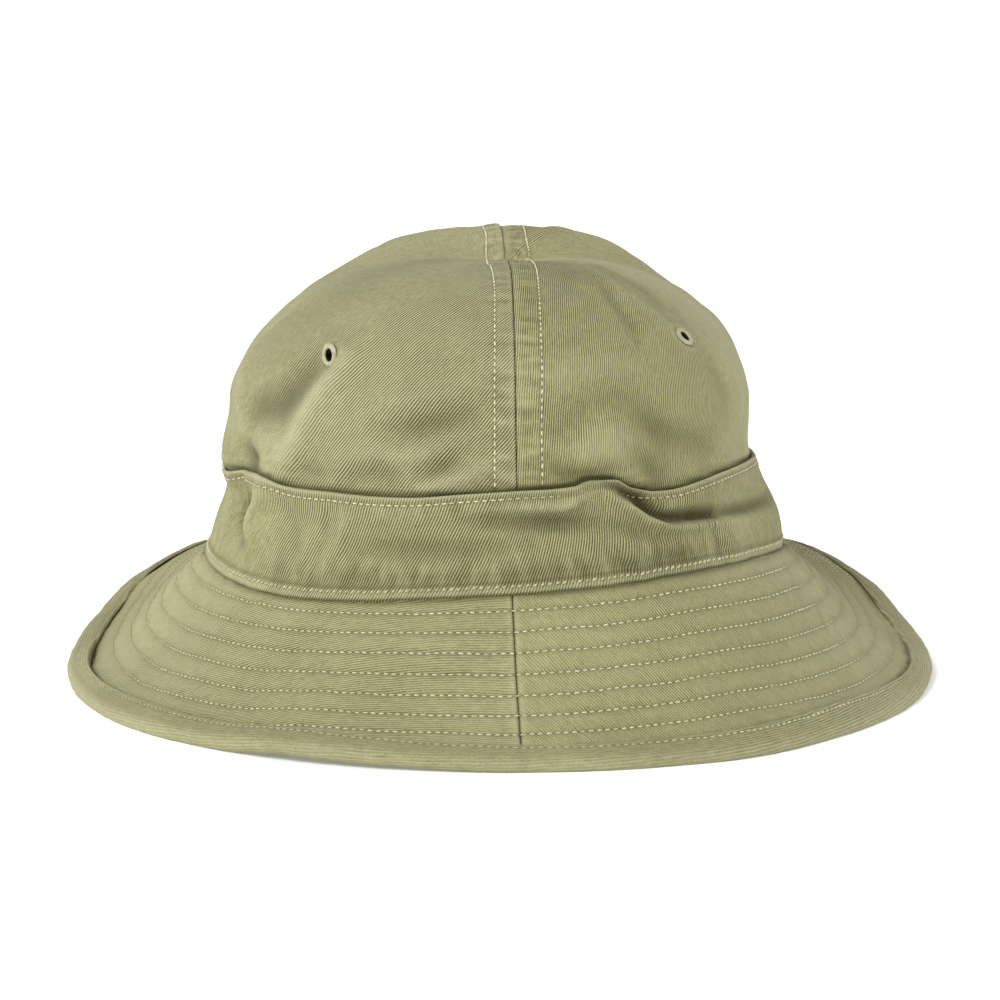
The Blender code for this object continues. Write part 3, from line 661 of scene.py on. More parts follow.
def sewGore(name, gore):
    # a grid from seam to seam and from the foot to the crossing
    shares = packed(crown["width"], *crown["columns"])[:, None]
    levels = np.linspace(0, topLevel - 0.01, crown["rows"])
    start, end = seamTurn(gore["from"], levels), seamTurn(gore["to"], levels)
    start = start - tau * (start > end)
    azimuth = start + (end - start) * shares
    level = np.broadcast_to(levels, azimuth.shape)
    relief, middle, side, above, strip = crownRelief(azimuth, level, gore["seed"])

    # near the eyelet the cloth is drawn to the eyelet's own plane
    centre, axis, beside = eyeletFrame(*gore["eyelet"][1:5])
    point = crownPoint(azimuth, level, hat["crownCloth"] + relief)
    reach = np.linalg.norm(point - centre, axis=-1)
    slip = (point - centre) @ axis / np.maximum(crownNormal(azimuth, level) @ axis, 0.4)
    pull = crown["eyeletPull"]
    relief = relief - np.clip(slip, -pull, pull) * bump(reach, crown["eyeletSeat"])
    relief += mm * bumps(crown["eyeletDip"], eyelet=reach)
    spoke = np.arctan2(point[..., 2] - centre[2], (point - centre) @ beside)
    count, first = crown["spokes"]
    relief += mm * np.cos(count * spoke + first) * bumps(crown["spokeRise"], eyelet=reach)

    edge = np.minimum(shares, 1 - shares) * crown["width"]
    thick = hat["crownCloth"] * rounded(edge, crown["edgeRadius"])
    outer = crownPoint(azimuth, level, 0.5 * (hat["crownCloth"] + thick) + relief)
    inner = crownPoint(azimuth, level, 0.5 * (hat["crownCloth"] - thick) + 0.7 * relief)

    # flat pattern: across from the front or back seam, and up along it
    spread = np.interp(levels, np.arange(topLevel + 1.0), crownLevels[:, 3:7].mean(1))
    first = start if gore["from"] in ("front", "back") else end
    cloth = np.stack([(azimuth - first) * spread * headRadius, level / topLevel * crownClimb], -1)

    cellReach = 0.25 * (reach[:-1, :-1] + reach[1:, :-1] + reach[:-1, 1:] + reach[1:, 1:])
    keep = cellReach > crown["holeRadius"] * gore["eyelet"][5]
    ways = {"seam": middle, "side": side, "join": np.minimum(middle, side),
            "strip": middle - strip, "band": above, "eyelet": reach}
    # paler seams, side seams and a ring round the eyelet, worn and with painted highlight, and a
    # painted highlight on the right side; below, painted shade along the seams, the topstitch lines and
    # under the crown's swell over the band, then more painted shade by the buckle, above the band and
    # in patches
    fade = bumps(crown["fade"], **ways) + spots(azimuth, crown["highlightSpots"])
    paintedShade = np.clip(bumps(crown["paintedShade"], **ways), 0, 1)
    mottle = 0.7 + 0.6 * lattice(azimuth * 90 * mm, above, 12 * mm, 44)
    paintedShade = paintedShade + bumps(crown["buckleShade"], **ways) * spot(azimuth, *crown["buckleShadeSpot"])
    paintedShade = paintedShade + bumps(crown["aboveBandShade"], **ways) * mottle
    for much, place, width, low, high in crown["shadedPatches"]:
        paintedShade = paintedShade + much * spot(azimuth, place, width) * ramp(level, low, high)
    # the fold value gives painted highlight on ridges and painted shade in valleys; the streaks are
    # painted shade and highlight of small puckers beside the seams and above the band
    masks = {
        "fade": np.clip(fade, 0, 1), "paintedShade": paintedShade,
        "fold": foldField(azimuth, level / topLevel) / mm,
        "puckerShading": bump(middle - 0.55 * strip, 3.6 * mm) + 0.6 * bump(above - 2 * mm, 3 * mm),
        "calm": calmShare(azimuth, level / topLevel),
    }
    piece = shellMesh(name + "_cloth", outer, inner, cloth, keep=keep, masks=masks)
    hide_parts(name)
    return settle(piece, twill(name, **gore["weave"]))


def settle(piece, material):
    # every piece gets its material, its body and its slot
    piece.data.materials.append(material)
    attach(piece, "root")
    return piece


band = {
    "columns": 700, "rows": (0.95 * mm, 0.28 * mm, 4 * mm),    # as the crown's columns
    "edgeRadius": 0.6 * mm,
    "edgeLine": 2.1 * mm,        # top edge to its stitches
    "hemFold": 1.15 * mm,        # top edge to the fold's shallow line
    "hemWidth": 3.0 * mm, "hemRise": 0.35 * mm,
    "seatLine": 2.05 * mm,       # foot to the thick stitches along it
    "seatRise": 0.65 * mm, "seatWidth": 2.4 * mm,
    # as in the crown: round the stitches, above the foot strip, and on it
    "edgePucker": (0.16, 3.6, 0, 3), "gather": (0.75, 3.8, 4.5, 6.5),
    "footPucker": (0.10, 2.2, 1.2, 2),
    "slack": ((0.36, 10, 63), (0.14, 4.5, 64)),
    "shape": (("edgeLine", -0.25, 0, 0.7), ("hemFold", -0.16, 0, 0.35), ("seatLine", -0.15, 0, 0.6)),
    "frontShape": (("foot", -0.45, 4.2, 1.2),),    # ahead only
    "tuck": 0.9 * mm,            # how far the foot is pressed into the brim's seam
    "lean": 0.26,                # how much steeper the grain is on the right half
    "leanTurn": (-2.865, 20.05),    # azimuths between which it comes in
    # azimuths between which the foot strip, the front painted shade and the painted pucker streaks grow
    # weaker
    "plainSides": (45.837, 58.442), "frontShadeTurn": (54.4, 37.2), "puckerShadingTurn": (44, 52),
    "calmSides": (0.9, 47, 53), "calmFront": (0.3, 34, 14),
    "weave": {"turn": 65, "wale": 0.82, "contrast": 1.9, "across": (0.8, 0.2), "tint": 0.94},
    # paler top edge and foot, worn and with painted highlight; lines of painted shade, more of it above
    # the foot in front and a spot of it by the buckle; streaks of painted pucker shading at the foot
    # and under the top
    "fade": (("top", 1.0, 0.3, 0.8), ("foot", 0.7, 1.0, 0.9)),
    "paintedShade": (("edgeLine", 0.5, 0, 0.5), ("hemFold", 0.3, 0, 0.3), ("foot", 0.9, 0, 0.4),
               ("seatLine", 0.55, 1.1, 0.6)),
    "frontShade": (("foot", 0.32, 4.8, 3.2),),    # ahead only
    "shadeSpots": ((0.14, 36.7, 12.6),),
    "puckerShading": (("foot", 1.6, 5.5, 4.0), ("top", 0.5, 3.5, 2.5)),
    # azimuths in degrees, and how bright the thread is there; the top row's dip from 5 to 30 degrees is
    # painted shade under the buckle's cloth
    "edgeBright": ([-60, -30, -6, 5, 30, 36, 60, 90], [0.7, 0.95, 0.9, 0.5, 0.45, 0.75, 0.95, 0.9]),
    "footBright": ([-60, 60], [0.55, 0.55]),
}


def bandWays(above, below):
    # distances from the lines that run along the band
    return {"top": below, "edgeLine": below - band["edgeLine"], "hemFold": below - band["hemFold"],
            "foot": above, "seatLine": above - band["seatLine"]}


def bandRelief(azimuth, above, below):
    # hem, foot strip, gathers that fade upward and to both sides, stitch dips
    around = azimuth * headRadius
    front = 1 - 0.85 * ramp(np.abs(np.degrees(azimuth)), *band["plainSides"])
    hem = ramp(below, band["hemWidth"], band["hemWidth"] + 1.3 * mm)
    foot = ramp(above, band["seatWidth"], band["seatWidth"] + 1.2 * mm)
    relief = band["hemRise"] * (1 - smooth(hem)) + band["seatRise"] * front * (1 - smooth(foot))
    ways = bandWays(above, below)
    relief += puckers(band["edgePucker"], 61, around, 0, ways["edgeLine"])
    relief += mm * (bumps(band["shape"], **ways) + front * bumps(band["frontShape"], **ways))
    relief += front * puckers(band["gather"], 62, around + 0.35 * above, 0.12 * above, above)
    relief += puckers(band["footPucker"], 65, around, 0, above)
    return relief + uneven(around, above, band["slack"])


def bandSurface(azimuth, share, lift):
    # share runs from the foot to the top edge; gives the point and the ways to both
    azimuth, share = np.broadcast_arrays(azimuth, share)
    top = bandTop(azimuth)
    above, below = share * top, (1 - share) * top
    point = crownPoint(azimuth, levelAt(above), lift + bandRelief(azimuth, above, below))
    point[..., 2] += np.minimum(above, 0)
    return point, above, below


def sewBand():
    # a grid once round and from the tucked foot to the top edge
    azimuths = np.linspace(-math.pi, math.pi, band["columns"] + 1)
    shares = packed(hat["bandHeight"], *band["rows"])
    shares = np.concatenate([[-band["tuck"] / hat["bandHeight"]], shares])
    azimuth, share = np.meshgrid(azimuths, shares, indexing="ij")
    edge = np.minimum(share - shares[0], 1 - share) * hat["bandHeight"]
    thick = hat["bandCloth"] * rounded(edge, band["edgeRadius"])
    middle = (seatLift + bandLift) / 2
    outer, above, below = bandSurface(azimuth, share, middle + thick / 2)
    inner = crownPoint(azimuth, levelAt(above), middle - thick / 2)
    inner[..., 2] += np.minimum(above, 0)
    turn = np.degrees(azimuth)
    steep = ramp(turn, *band["leanTurn"]) * (turn < 90)
    cloth = np.stack([azimuth * headRadius + band["lean"] * steep * above, above], -1)

    front = ramp(np.abs(turn), *band["frontShadeTurn"])
    ahead = 1 - 0.8 * ramp(np.abs(turn), *band["puckerShadingTurn"])
    sides, start, end = band["calmSides"]
    calm, place, width = band["calmFront"]
    ways = bandWays(above, below)
    # painted shade in the lines and grooves, above the foot in front and by the buckle; paler edges are
    # wear with painted highlight
    paintedShade = (bumps(band["paintedShade"], **ways) + front * bumps(band["frontShade"], **ways)
              + spots(azimuth, band["shadeSpots"]))
    masks = {
        "fade": np.clip(bumps(band["fade"], **ways), 0, 1), "paintedShade": np.clip(paintedShade, 0, 1),
        "fold": foldField(azimuth, levelAt(above) / topLevel) / mm,
        "puckerShading": ahead * bumps(band["puckerShading"], **ways),
        "calm": np.maximum(sides * turnedAway(turn, start, end), calm * bump(turn - place, width)),
    }
    masks = {name: values[:-1] for name, values in masks.items()}
    piece = shellMesh("band_cloth", outer[:-1], inner[:-1], cloth, closed=True, masks=masks)
    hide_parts("band")
    return settle(piece, twill("band", **band["weave"]))


brims = {
    "brim_right": {"start": 1.9, "end": 180.0,
                   "weave": {"turn": -50, "wale": 0.80, "contrast": 0.95, "tint": 0.895}},
    "brim_left": {"start": -179.999, "end": 1.9,
                  "weave": {"turn": -2, "wale": 0.84, "contrast": 1.15, "tint": 0.92}},
}
brim = {
    "columns": (1.8 * mm, 0.35 * mm, 12 * mm),    # as the crown's columns
    "rows": np.array([-2.6, -1.4, -0.6, 0.0, 0.6, 1.4, 2.6]) * mm,    # from each line
    "lastRows": np.array([0.18, 0.36, 0.54, 0.72, 0.88, 1.0]),    # shares of what is left
    "middleRadius": 125 * mm,
    "firstLine": 5.0 * mm, "lineStep": 6.9 * mm, "lines": 7,
    "lineSpread": (1.4 * mm, 0.48 * mm),    # where the seam sags: the first line up, each step more
    "groove": 0.36 * mm, "pucker": (0.22, 4.0, 0, 2.6),
    "slack": ((0.40, 17, 72), (0.12, 6, 73)),
    "wrinkle": 0.9 * mm,         # small wrinkles across the lines, at both ends
    "ends": ((1, -72, 18), (1, 74, 16)),
    "seam": (("seam", -0.25, 0, 0.4), ("seam", 0.10, 1.8, 1.4)),    # shape beside the seams
    # paler swells between the lines and beside the seams, worn and with painted highlight, and painted
    # highlight on both sides of the brim
    "fade": (("ridge", 0.25, 0, 1.5), ("seam", 0.5, 1.3, 0.9)),
    "highlightSpots": ((0.8, -76, 26), (0.55, 70, 20)),
    # lines of painted shade: the line that they follow, how much, and width in mm
    "paintedShade": (("line", 0.65, 0.55), ("seam", 0.8, 0.26), ("foot", 1, 1.1), ("gap", 1.5, 0.8)),
    "bright": ([-60, -30, 0, 20, 60], [0.62, 0.72, 0.8, 0.9, 0.95]),
    "sides": (58, 74, 130, 114),    # where it is turned away, and its lines show less
    # the dark gap there is painted shadow
    "gapCorners": ((-76, 31), (64, 40)),    # where a dark gap shows beside the binding
    "seamLean": (-0.55, 0.72),      # degrees to the right, and more per share of the slope
    "seamReach": (1.9, 8.02),       # the front seam's azimuth, and how far the lean reaches
    "flat": (130 * mm, 0.70),       # laid flat: the inner radius, and the share of its angle
}


def lineOffset(azimuth, number):
    # way down to a stitch line; the lines spread where the seam sags
    up, more = (part * seamSink(azimuth) / hat["seamSink"] for part in brim["lineSpread"])
    return brim["firstLine"] - up + number * (brim["lineStep"] + more)


def brimLines(azimuth, share):
    # distance down the slope, the nearest stitch line's number and the way to it
    down = share * brimSlope(azimuth)
    first = lineOffset(azimuth, 0)
    number = np.round((down - first) / (lineOffset(azimuth, 1) - first))
    number = np.clip(number, 0, brim["lines"] - 1)
    return down, number, down - lineOffset(azimuth, number)


def brimRelief(azimuth, share, shift=0.0):
    # soft ridges between the lines, a groove on each, puckers across it, slow slack and
    # small wrinkles at both ends; a shift gives the underside puckers of its own
    down, number, beside = brimLines(azimuth, share)
    around = (azimuth + shift) * (100 * mm + 0.8 * down)
    sides = turnedAway(np.degrees(azimuth), *brim["sides"])
    relief = -brim["groove"] * (1 - 0.5 * sides) * bump(beside, 0.95 * mm)
    relief += puckers(brim["pucker"], 71, around, number * 5 * mm, beside)
    relief += uneven(around, down, brim["slack"])
    wrinkle = brim["wrinkle"] * lattice(around, 0.4 * down, 4.8 * mm, 75)
    return relief + wrinkle * spots(azimuth, brim["ends"])


def flatBrim(azimuth, down):
    # the brim's cloth laid flat: a ring sector
    inner, share = brim["flat"]
    radius, turn = inner + down, azimuth * share
    return np.stack([radius * np.sin(turn), -radius * np.cos(turn)], -1)


def atCorners(azimuth, places):
    # the greater of two bumps, one at each side, and nothing behind the hat's sides
    both = np.maximum(*(spot(azimuth, *place) for place in places))
    return both * ramp(np.abs(np.degrees(azimuth)), 97, 85)


def sewBrim(name, half):
    # a grid from seam to seam and down the slope, its rows packed round each stitch line
    start, end = math.radians(half["start"]), math.radians(half["end"])
    length = (end - start) * brim["middleRadius"]
    shares = packed(length, *brim["columns"])
    azimuths = start + (end - start) * shares
    count = len(azimuths)
    under = -bandLift / hat["brimWidth"]
    lines = lineOffset(azimuths[:, None], np.arange(brim["lines"]))
    lines = (lines[:, :, None] + brim["rows"]).reshape(count, -1)
    lines = np.concatenate([np.array([0, 0.15, 0.5]) * lines[:, :1], lines], 1)
    lines = lines / brimSlope(azimuths)[:, None]
    first = np.broadcast_to(under * np.array([1, 0.9, 0.5]), (count, 3))
    last = lines[:, -1:] + (1 - lines[:, -1:]) * brim["lastRows"]
    share = np.concatenate([first, lines, last], 1)
    right, more = brim["seamLean"]
    lean = np.radians(right + more * share) * spot(azimuths, *brim["seamReach"])[:, None]
    azimuth = azimuths[:, None] + lean

    edge = np.minimum(shares, 1 - shares)[:, None] * length
    seam = mm * bumps(brim["seam"], seam=edge)
    inward = np.minimum(1 - share, share - under) * hat["brimWidth"]
    thick = hat["brimCloth"] * rounded(edge, 0.55 * mm) * rounded(inward, 0.8 * mm)
    point, normal = brimPoint(azimuth, share), brimNormal(azimuth, share)
    above = thick / 2 + (brimRelief(azimuth, share) + seam) * (share > 0)
    below = thick / 2 + 0.7 * (brimRelief(azimuth, share, 9.0) + seam)
    upper, lower = point + above[..., None] * normal, point - below[..., None] * normal

    down, _, beside = brimLines(azimuth, share)
    turn = np.degrees(azimuth)
    # the binding stands off at both corners, and painted shadow darkens the gap beside it
    corners = atCorners(azimuth, brim["gapCorners"])
    jagged = 0.75 + 0.5 * lattice(azimuth * brim["middleRadius"], 0, 2.6 * mm, 74)
    bound = (share - bindingStart(azimuth)) * hat["brimWidth"] + 0.2 * mm
    # each painted shade line's way, and where round the hat it shows
    ways = {"line": (beside, 1 - 0.8 * turnedAway(turn, *brim["sides"])), "seam": (edge, 1),
            "foot": (down, 0.35 + 0.55 * ramp(np.abs(turn), 64, 40)),
            "gap": (bound, corners * jagged)}
    paintedShade = 0
    for line, much, width in brim["paintedShade"]:
        way, shown = ways[line]
        paintedShade = paintedShade + much * shown * bump(way, width * mm)
    # paler swells and seam edges, worn and with painted highlight, and painted highlight on both sides
    fade = bumps(brim["fade"], ridge=np.abs(beside) - brim["lineStep"] / 2, seam=edge)
    fade = fade + spots(azimuth, brim["highlightSpots"])
    masks = {
        "calm": 0.75 * turnedAway(turn, 64, 76) + 0.40 * bump(turn, 26),
        "fade": np.clip(fade, 0, 1), "paintedShade": np.clip(paintedShade, 0, 1),
    }
    cloth = flatBrim(azimuth, share * hat["brimWidth"])
    piece = shellMesh(name + "_cloth", lower, upper, cloth, masks=masks)
    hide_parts(name)
    return settle(piece, twill(name, **half["weave"]))


binding = {
    "columns": 900, "leafRows": 13, "tipRows": 9,
    "edgeRadius": 0.8 * mm, "rimRadius": 138 * mm,
    "stitchLine": 2.0 * mm,     # inner edge to its stitches
    "stitchDip": 0.22 * mm, "pucker": (0.16, 4.4, 0, 3),
    "slack": ((0.12, 7, 82),), "ribs": ((0.10, 3.1, 83),),
    "standOff": 1.2 * mm,       # how far its inner edge stands off the brim at the sides
    "openCorners": ((-77, 20), (68, 33)),    # where it does
    "narrow": 0.38,             # share of its width taken off
    "narrowSpots": ((1, 76, 20), (1, -73, 17), (0.735, 0, 40)),    # where: share, azimuth, width
    "weave": {"turn": 3, "wale": 0.96, "contrast": 0.80, "tint": 0.84, "warm": 1.3},
    "bright": ([-40, 10, 35, 58, 68], [0.25, 0.3, 0.9, 0.8, 0.1]),
}


def bindingStart(azimuth):
    # share of the slope where the binding's inner edge lies
    rows = [much * spot(azimuth, place, width) for much, place, width in binding["narrowSpots"]]
    return 1 - leafWidth * (1 - binding["narrow"] * np.max(rows, axis=0)) / brimSlope(azimuth)


def leafShare(along):
    # 0 at both of the binding's edges and 1 all round its tip
    return np.minimum(np.minimum(along, 3 - along), 1)


def bindingSection(azimuth, along, lift, puff):
    # along runs 0..1 over the lower leaf from its edge, 1..2 round the tip, 2..3 back over
    # the upper leaf to its edge; lift is measured from the middle of the brim's cloth
    begin = bindingStart(azimuth)
    share = begin + (1 - begin) * leafShare(along)
    onward = unit(brimPoint(azimuth, np.ones_like(azimuth)) - brimPoint(azimuth, begin))
    turn = (math.pi * (np.clip(along, 1, 2) - 1.5))[..., None]
    way = np.cos(turn) * onward + np.sin(turn) * brimNormal(azimuth, share)
    return brimPoint(azimuth, share) + (lift + puff)[..., None] * way


def bindingRelief(azimuth, along):
    # a groove along the stitches, puckers across it, slanting ribs, the edge standing off
    leaf = leafShare(along) * leafWidth
    around = azimuth * binding["rimRadius"]
    line = leaf - binding["stitchLine"]
    relief = -binding["stitchDip"] * bump(line, 0.7 * mm)
    relief += puckers(binding["pucker"], 81, around, np.sign(along - 1.5) * 5 * mm, line)
    relief += uneven(around, leaf, binding["slack"]) + uneven(around - 0.8 * leaf, 0, binding["ribs"])
    corners = atCorners(azimuth, binding["openCorners"])
    return relief + binding["standOff"] * corners * bump(leaf, 3.0 * mm) * (along > 1.5)


def sewBinding():
    # a grid once round, and in section over the lower leaf, the tip and the upper leaf
    azimuths = np.linspace(-math.pi, math.pi, binding["columns"] + 1)
    leaf = np.linspace(0, 1, binding["leafRows"]) ** 1.25
    tip = np.linspace(1, 2, binding["tipRows"] + 1)[1:]
    alongs = np.concatenate([leaf, tip, 3 - leaf[-2::-1]])
    azimuth, along = np.meshgrid(azimuths, alongs, indexing="ij")
    edge = np.minimum(along, 3 - along) * leafWidth
    thick = hat["bindingCloth"] * rounded(edge, binding["edgeRadius"])
    inside = tipRadius - hat["bindingCloth"]
    relief = bindingRelief(azimuth, along)
    outer = bindingSection(azimuth, along, inside + thick, relief)
    inner = bindingSection(azimuth, along, np.full(along.shape, inside), 0 * relief)
    outer[..., 2] = np.maximum(outer[..., 2], 0)
    inner[..., 2] = np.maximum(inner[..., 2], 0.5 * mm)
    width = np.interp(along, [0, 1, 2, 3], np.array([0, 1, 1, 2]) * leafWidth
                      + np.array([0, 0, 1, 1]) * math.pi * tipRadius)
    cloth = np.stack([azimuth * binding["rimRadius"], width], -1)
    # paler edges and tip, worn and with painted highlight, and painted highlight on both sides; painted
    # shade along the stitch line
    fade = (0.4 * bump(edge - 0.3 * mm, 0.5 * mm) + 0.6 * bump(along - 1.5, 0.45)
            + 0.7 * spot(np.abs(azimuth), 74.5, 21.8))
    masks = {
        "fade": np.clip(fade, 0, 1),
        "paintedShade": 0.45 * bump(edge - binding["stitchLine"], 0.5 * mm),
        "calm": 0.5 - 0.4 * ramp(np.degrees(azimuth), 20, 40),
    }
    masks = {name: values[:-1] for name, values in masks.items()}
    piece = shellMesh("rim_binding_cloth", outer[:-1], inner[:-1], cloth, closed=True, masks=masks)
    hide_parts("rim_binding")
    return settle(piece, twill("binding", **binding["weave"]))


eyelet = {
    "sides": 40,
    # radius and height in mm, up the bore, over the flange, down the tube, round the washer
    "profile": np.array([
        [1.85, -2.10], [1.85, 0.20], [1.95, 0.52], [2.25, 0.78], [2.70, 0.84], [3.20, 0.72],
        [3.58, 0.45], [3.72, 0.10], [3.60, -0.10], [3.10, -0.12], [2.45, -0.20],
        [2.45, -1.55], [3.30, -1.62], [3.62, -1.85], [3.40, -2.12], [2.40, -2.25]]) * mm,
    "paint": (0.37, 0.35, 0.215, 1), "chipped": (0.25, 0.232, 0.125, 1),
    # near black painted shade down the bore
    "hole": (0.010, 0.009, 0.006, 1),
    "chips": (900.0, 3.0),       # noise: scale and detail
}


def setEyelet(name, azimuth, level, facing, upward, size):
    # the profile turned about the eyelet's own axis; its bore is marked for painted shade
    centre, axis, beside = eyeletFrame(azimuth, level, facing, upward)
    sides, count = eyelet["sides"], len(eyelet["profile"])
    radius, height = eyelet["profile"].T * size
    turn = np.arange(sides) * tau / sides
    ring = np.cos(turn)[:, None] * beside + np.sin(turn)[:, None] * np.cross(axis, beside)
    points = centre + radius[None, :, None] * ring[:, None] + height[None, :, None] * axis
    i, j = np.meshgrid(np.arange(sides), np.arange(count), indexing="ij")
    after, onward = (i + 1) % sides, (j + 1) % count
    faces = np.stack([i * count + j, i * count + onward, after * count + onward, after * count + j], -1)
    piece = newPiece(name + "_ring", points.reshape(-1, 3) + hatShift, faces.reshape(-1, 4))
    dark = np.tile(ramp(radius, 2.0 * mm, 1.9 * mm) * (height < 0.3 * mm), sides)
    setMask(piece, "boreShade", dark)
    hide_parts(name)
    return settle(piece, enamel)


thread = {
    # one stitch every pitch, then its length and radius
    "thin": (2.3 * mm, 1.55 * mm, 0.22 * mm),
    "thick": (2.15 * mm, 1.15 * mm, 0.37 * mm),
    "thickSlant": 0.55,
    "sunk": 0.35,                # share of the radius that lies in the cloth
    # rings of a stitch: place from end to end, share of the radius, rise in radii
    "rings": ((-1, 0.45, -0.8), (-0.55, 1, 0.35), (0.55, 1, 0.35), (1, 0.45, -0.8)),
    "dull": 0.92,                # how much duller on the turned-away sides
    "colours": ((0.27, 0.255, 0.135, 1), (0.72, 0.69, 0.47, 1)),
    "ply": (2600.0, 1.0, 0.6),   # noise along a stitch: scale, detail and weight
}


def stitchRow(points, normals, seed, kind="thin", slant=0.0):
    # six-sided bent capsules along a line, one every pitch; gives vertices and faces
    pitch, length, radius = thread[kind]
    steps = np.linalg.norm(np.diff(points, axis=0), axis=1)
    place = np.concatenate([[0], np.cumsum(steps)])
    count = int(place[-1] / pitch)
    random = np.random.default_rng(seed)
    middle = (np.arange(count) + 0.5) * place[-1] / count
    middle = middle + random.uniform(-0.05, 0.05, count) * pitch
    half = length / 2 * random.uniform(0.92, 1.08, count)

    def at(values, where):
        # the values at distances along the line
        return np.stack([np.interp(where, place, values[:, k]) for k in range(3)], -1)

    normal = unit(at(normals, middle))
    along = unit(at(points, middle + 0.3 * mm) - at(points, middle - 0.3 * mm))
    side = unit(np.cross(normal, along))
    tilt = (random.uniform(-0.07, 0.07, count) + slant)[:, None]
    thick = radius * random.uniform(0.92, 1.08, count)
    turn = (np.arange(6) * tau / 6)[None, :, None]
    around = np.cos(turn) * side[:, None] + np.sin(turn) * normal[:, None]
    vertices = []
    for t, share, rise in thread["rings"]:
        centre = at(points, middle + t * half) + side * tilt * (t * half)[:, None]
        centre = centre + normal * ((rise - thread["sunk"] + 0.35) * thick)[:, None]
        vertices.append(centre[:, None] + (share * thick)[:, None, None] * around)
    vertices = np.stack(vertices, 1)
    faces = [[r * 6 + k, r * 6 + (k + 1) % 6, (r + 1) * 6 + (k + 1) % 6, (r + 1) * 6 + k]
             for r in range(3) for k in range(6)]
    faces += [[3, 2, 1, 0], [5, 4, 3, 0], [18, 19, 20, 21], [18, 21, 22, 23]]
    faces = np.array(faces)[None] + 24 * np.arange(count)[:, None, None]
    return vertices.reshape(-1, 3), faces.reshape(-1, 4)


def sewStitches(name, rows, bright=([0], [1.0]), fading=(58, 122)):
    # the rows joined into one piece, with a tone for each stitch: random, then brighter or
    # duller by azimuth, and duller on the hat's turned-away sides
    firsts = np.cumsum([0] + [len(points) for points, faces in rows])
    vertices = np.concatenate([points for points, faces in rows])
    faces = np.concatenate([faces + first for (points, faces), first in zip(rows, firsts)])
    piece = newPiece(name, vertices + hatShift, faces)
    middles = vertices.reshape(-1, 24, 3).mean(1)
    turn = np.degrees(np.arctan2(middles[:, 0], -middles[:, 1]))
    dull = thread["dull"] * turnedAway(turn, fading[0], fading[0] + 12, fading[1], fading[1] - 12)
    tone = np.random.default_rng(len(name)).uniform(0.5, 1, len(middles)) * (1 - dull)
    setMask(piece, "tone", np.repeat(tone * np.interp(turn, *bright), 24))
    return settle(piece, threadLook)


def besideSeam(side):
    # azimuth and level along the line at a distance from the front and back seams, from
    # the front foot over the crossing to the back foot
    lowLevels = np.linspace(1.2, 12.5, 160)

    def across(azimuth, level):
        # how far to the right the surface lies there
        return crownBase(np.broadcast_to(azimuth, np.shape(level)).astype(float), level)[..., 0]

    def azimuthOf(levels, which):
        # arcsin of the line's share of the way from the middle to the hat's side
        middle, reach = across(0.0, levels), across(side * math.pi / 2, levels)
        away = side * stripWidth(side, which == "front", levels)
        share = (seamPlace(which, levels)[..., 0] + away - middle) / (reach - middle)
        return np.arcsin(np.clip(share, -1, 1)) * side

    frontTurn = azimuthOf(lowLevels, "front")
    backTurn = side * math.pi - azimuthOf(lowLevels, "back")
    highLevels = np.linspace(topLevel - 0.05, 11.5, 220)
    over = []
    fan = np.linspace(frontTurn[-1], backTurn[-1], 40)[1:-1]
    for turn in fan:
        front = np.clip(0.5 + 2 * math.cos(turn), 0, 1)
        seam = seamPlace("front", highLevels)[..., 0] * front
        seam = seam + seamPlace("back", highLevels)[..., 0] * (1 - front)
        away = stripWidth(side, True, 14) * front + stripWidth(side, False, 14) * (1 - front)
        over.append(np.interp(away, side * (across(turn, highLevels) - seam), highLevels))
    azimuth = np.concatenate([frontTurn, fan, backTurn[::-1]])
    level = np.concatenate([lowLevels, over, lowLevels[::-1]])
    return azimuth, level


def sewCrownStitches():
    # a row to each side of the front and back seams
    rows = []
    for side, seed in ((-1, 3), (1, 5)):
        azimuth, level = besideSeam(side)
        seen = heightOf(level) > bandTop(azimuth) + 0.6 * mm
        lift = hat["crownCloth"] + crownRelief(azimuth, level, seed)[0]
        points, normals = crownPoint(azimuth, level, lift), crownNormal(azimuth, level)
        rows.append(stitchRow(points[seen], normals[seen], 20 + side))
    # a short bar along the side seams where the four gores meet
    wide = np.linspace(0.2 * mm, 6.2 * mm, 30)
    levels = np.linspace(topLevel - 0.02, 12, 200)
    middle = crownBase(np.zeros(200), levels)[:, 0]
    points, normals = [], []
    for side, seam, order in ((-1, "left", -1), (1, "right", 1)):
        turn = seamTurn(seam, levels)
        away = np.maximum(np.abs(crownBase(turn, levels)[:, 0] - middle), 2 * mm)
        turn = turn - side * 0.9 * mm / away
        reach = side * (crownBase(turn, levels)[:, 0] - middle[0])
        level, turn = np.interp(wide, reach, levels), np.interp(wide, reach, turn)
        lift = hat["crownCloth"] + crown["stripRise"]
        points.append(crownPoint(turn, level, lift)[::order])
        normals.append(crownNormal(turn, level)[::order])
    rows.append(stitchRow(np.concatenate(points), np.concatenate(normals), 25))
    return sewStitches("crown_stitches", rows, fading=(360, 360))


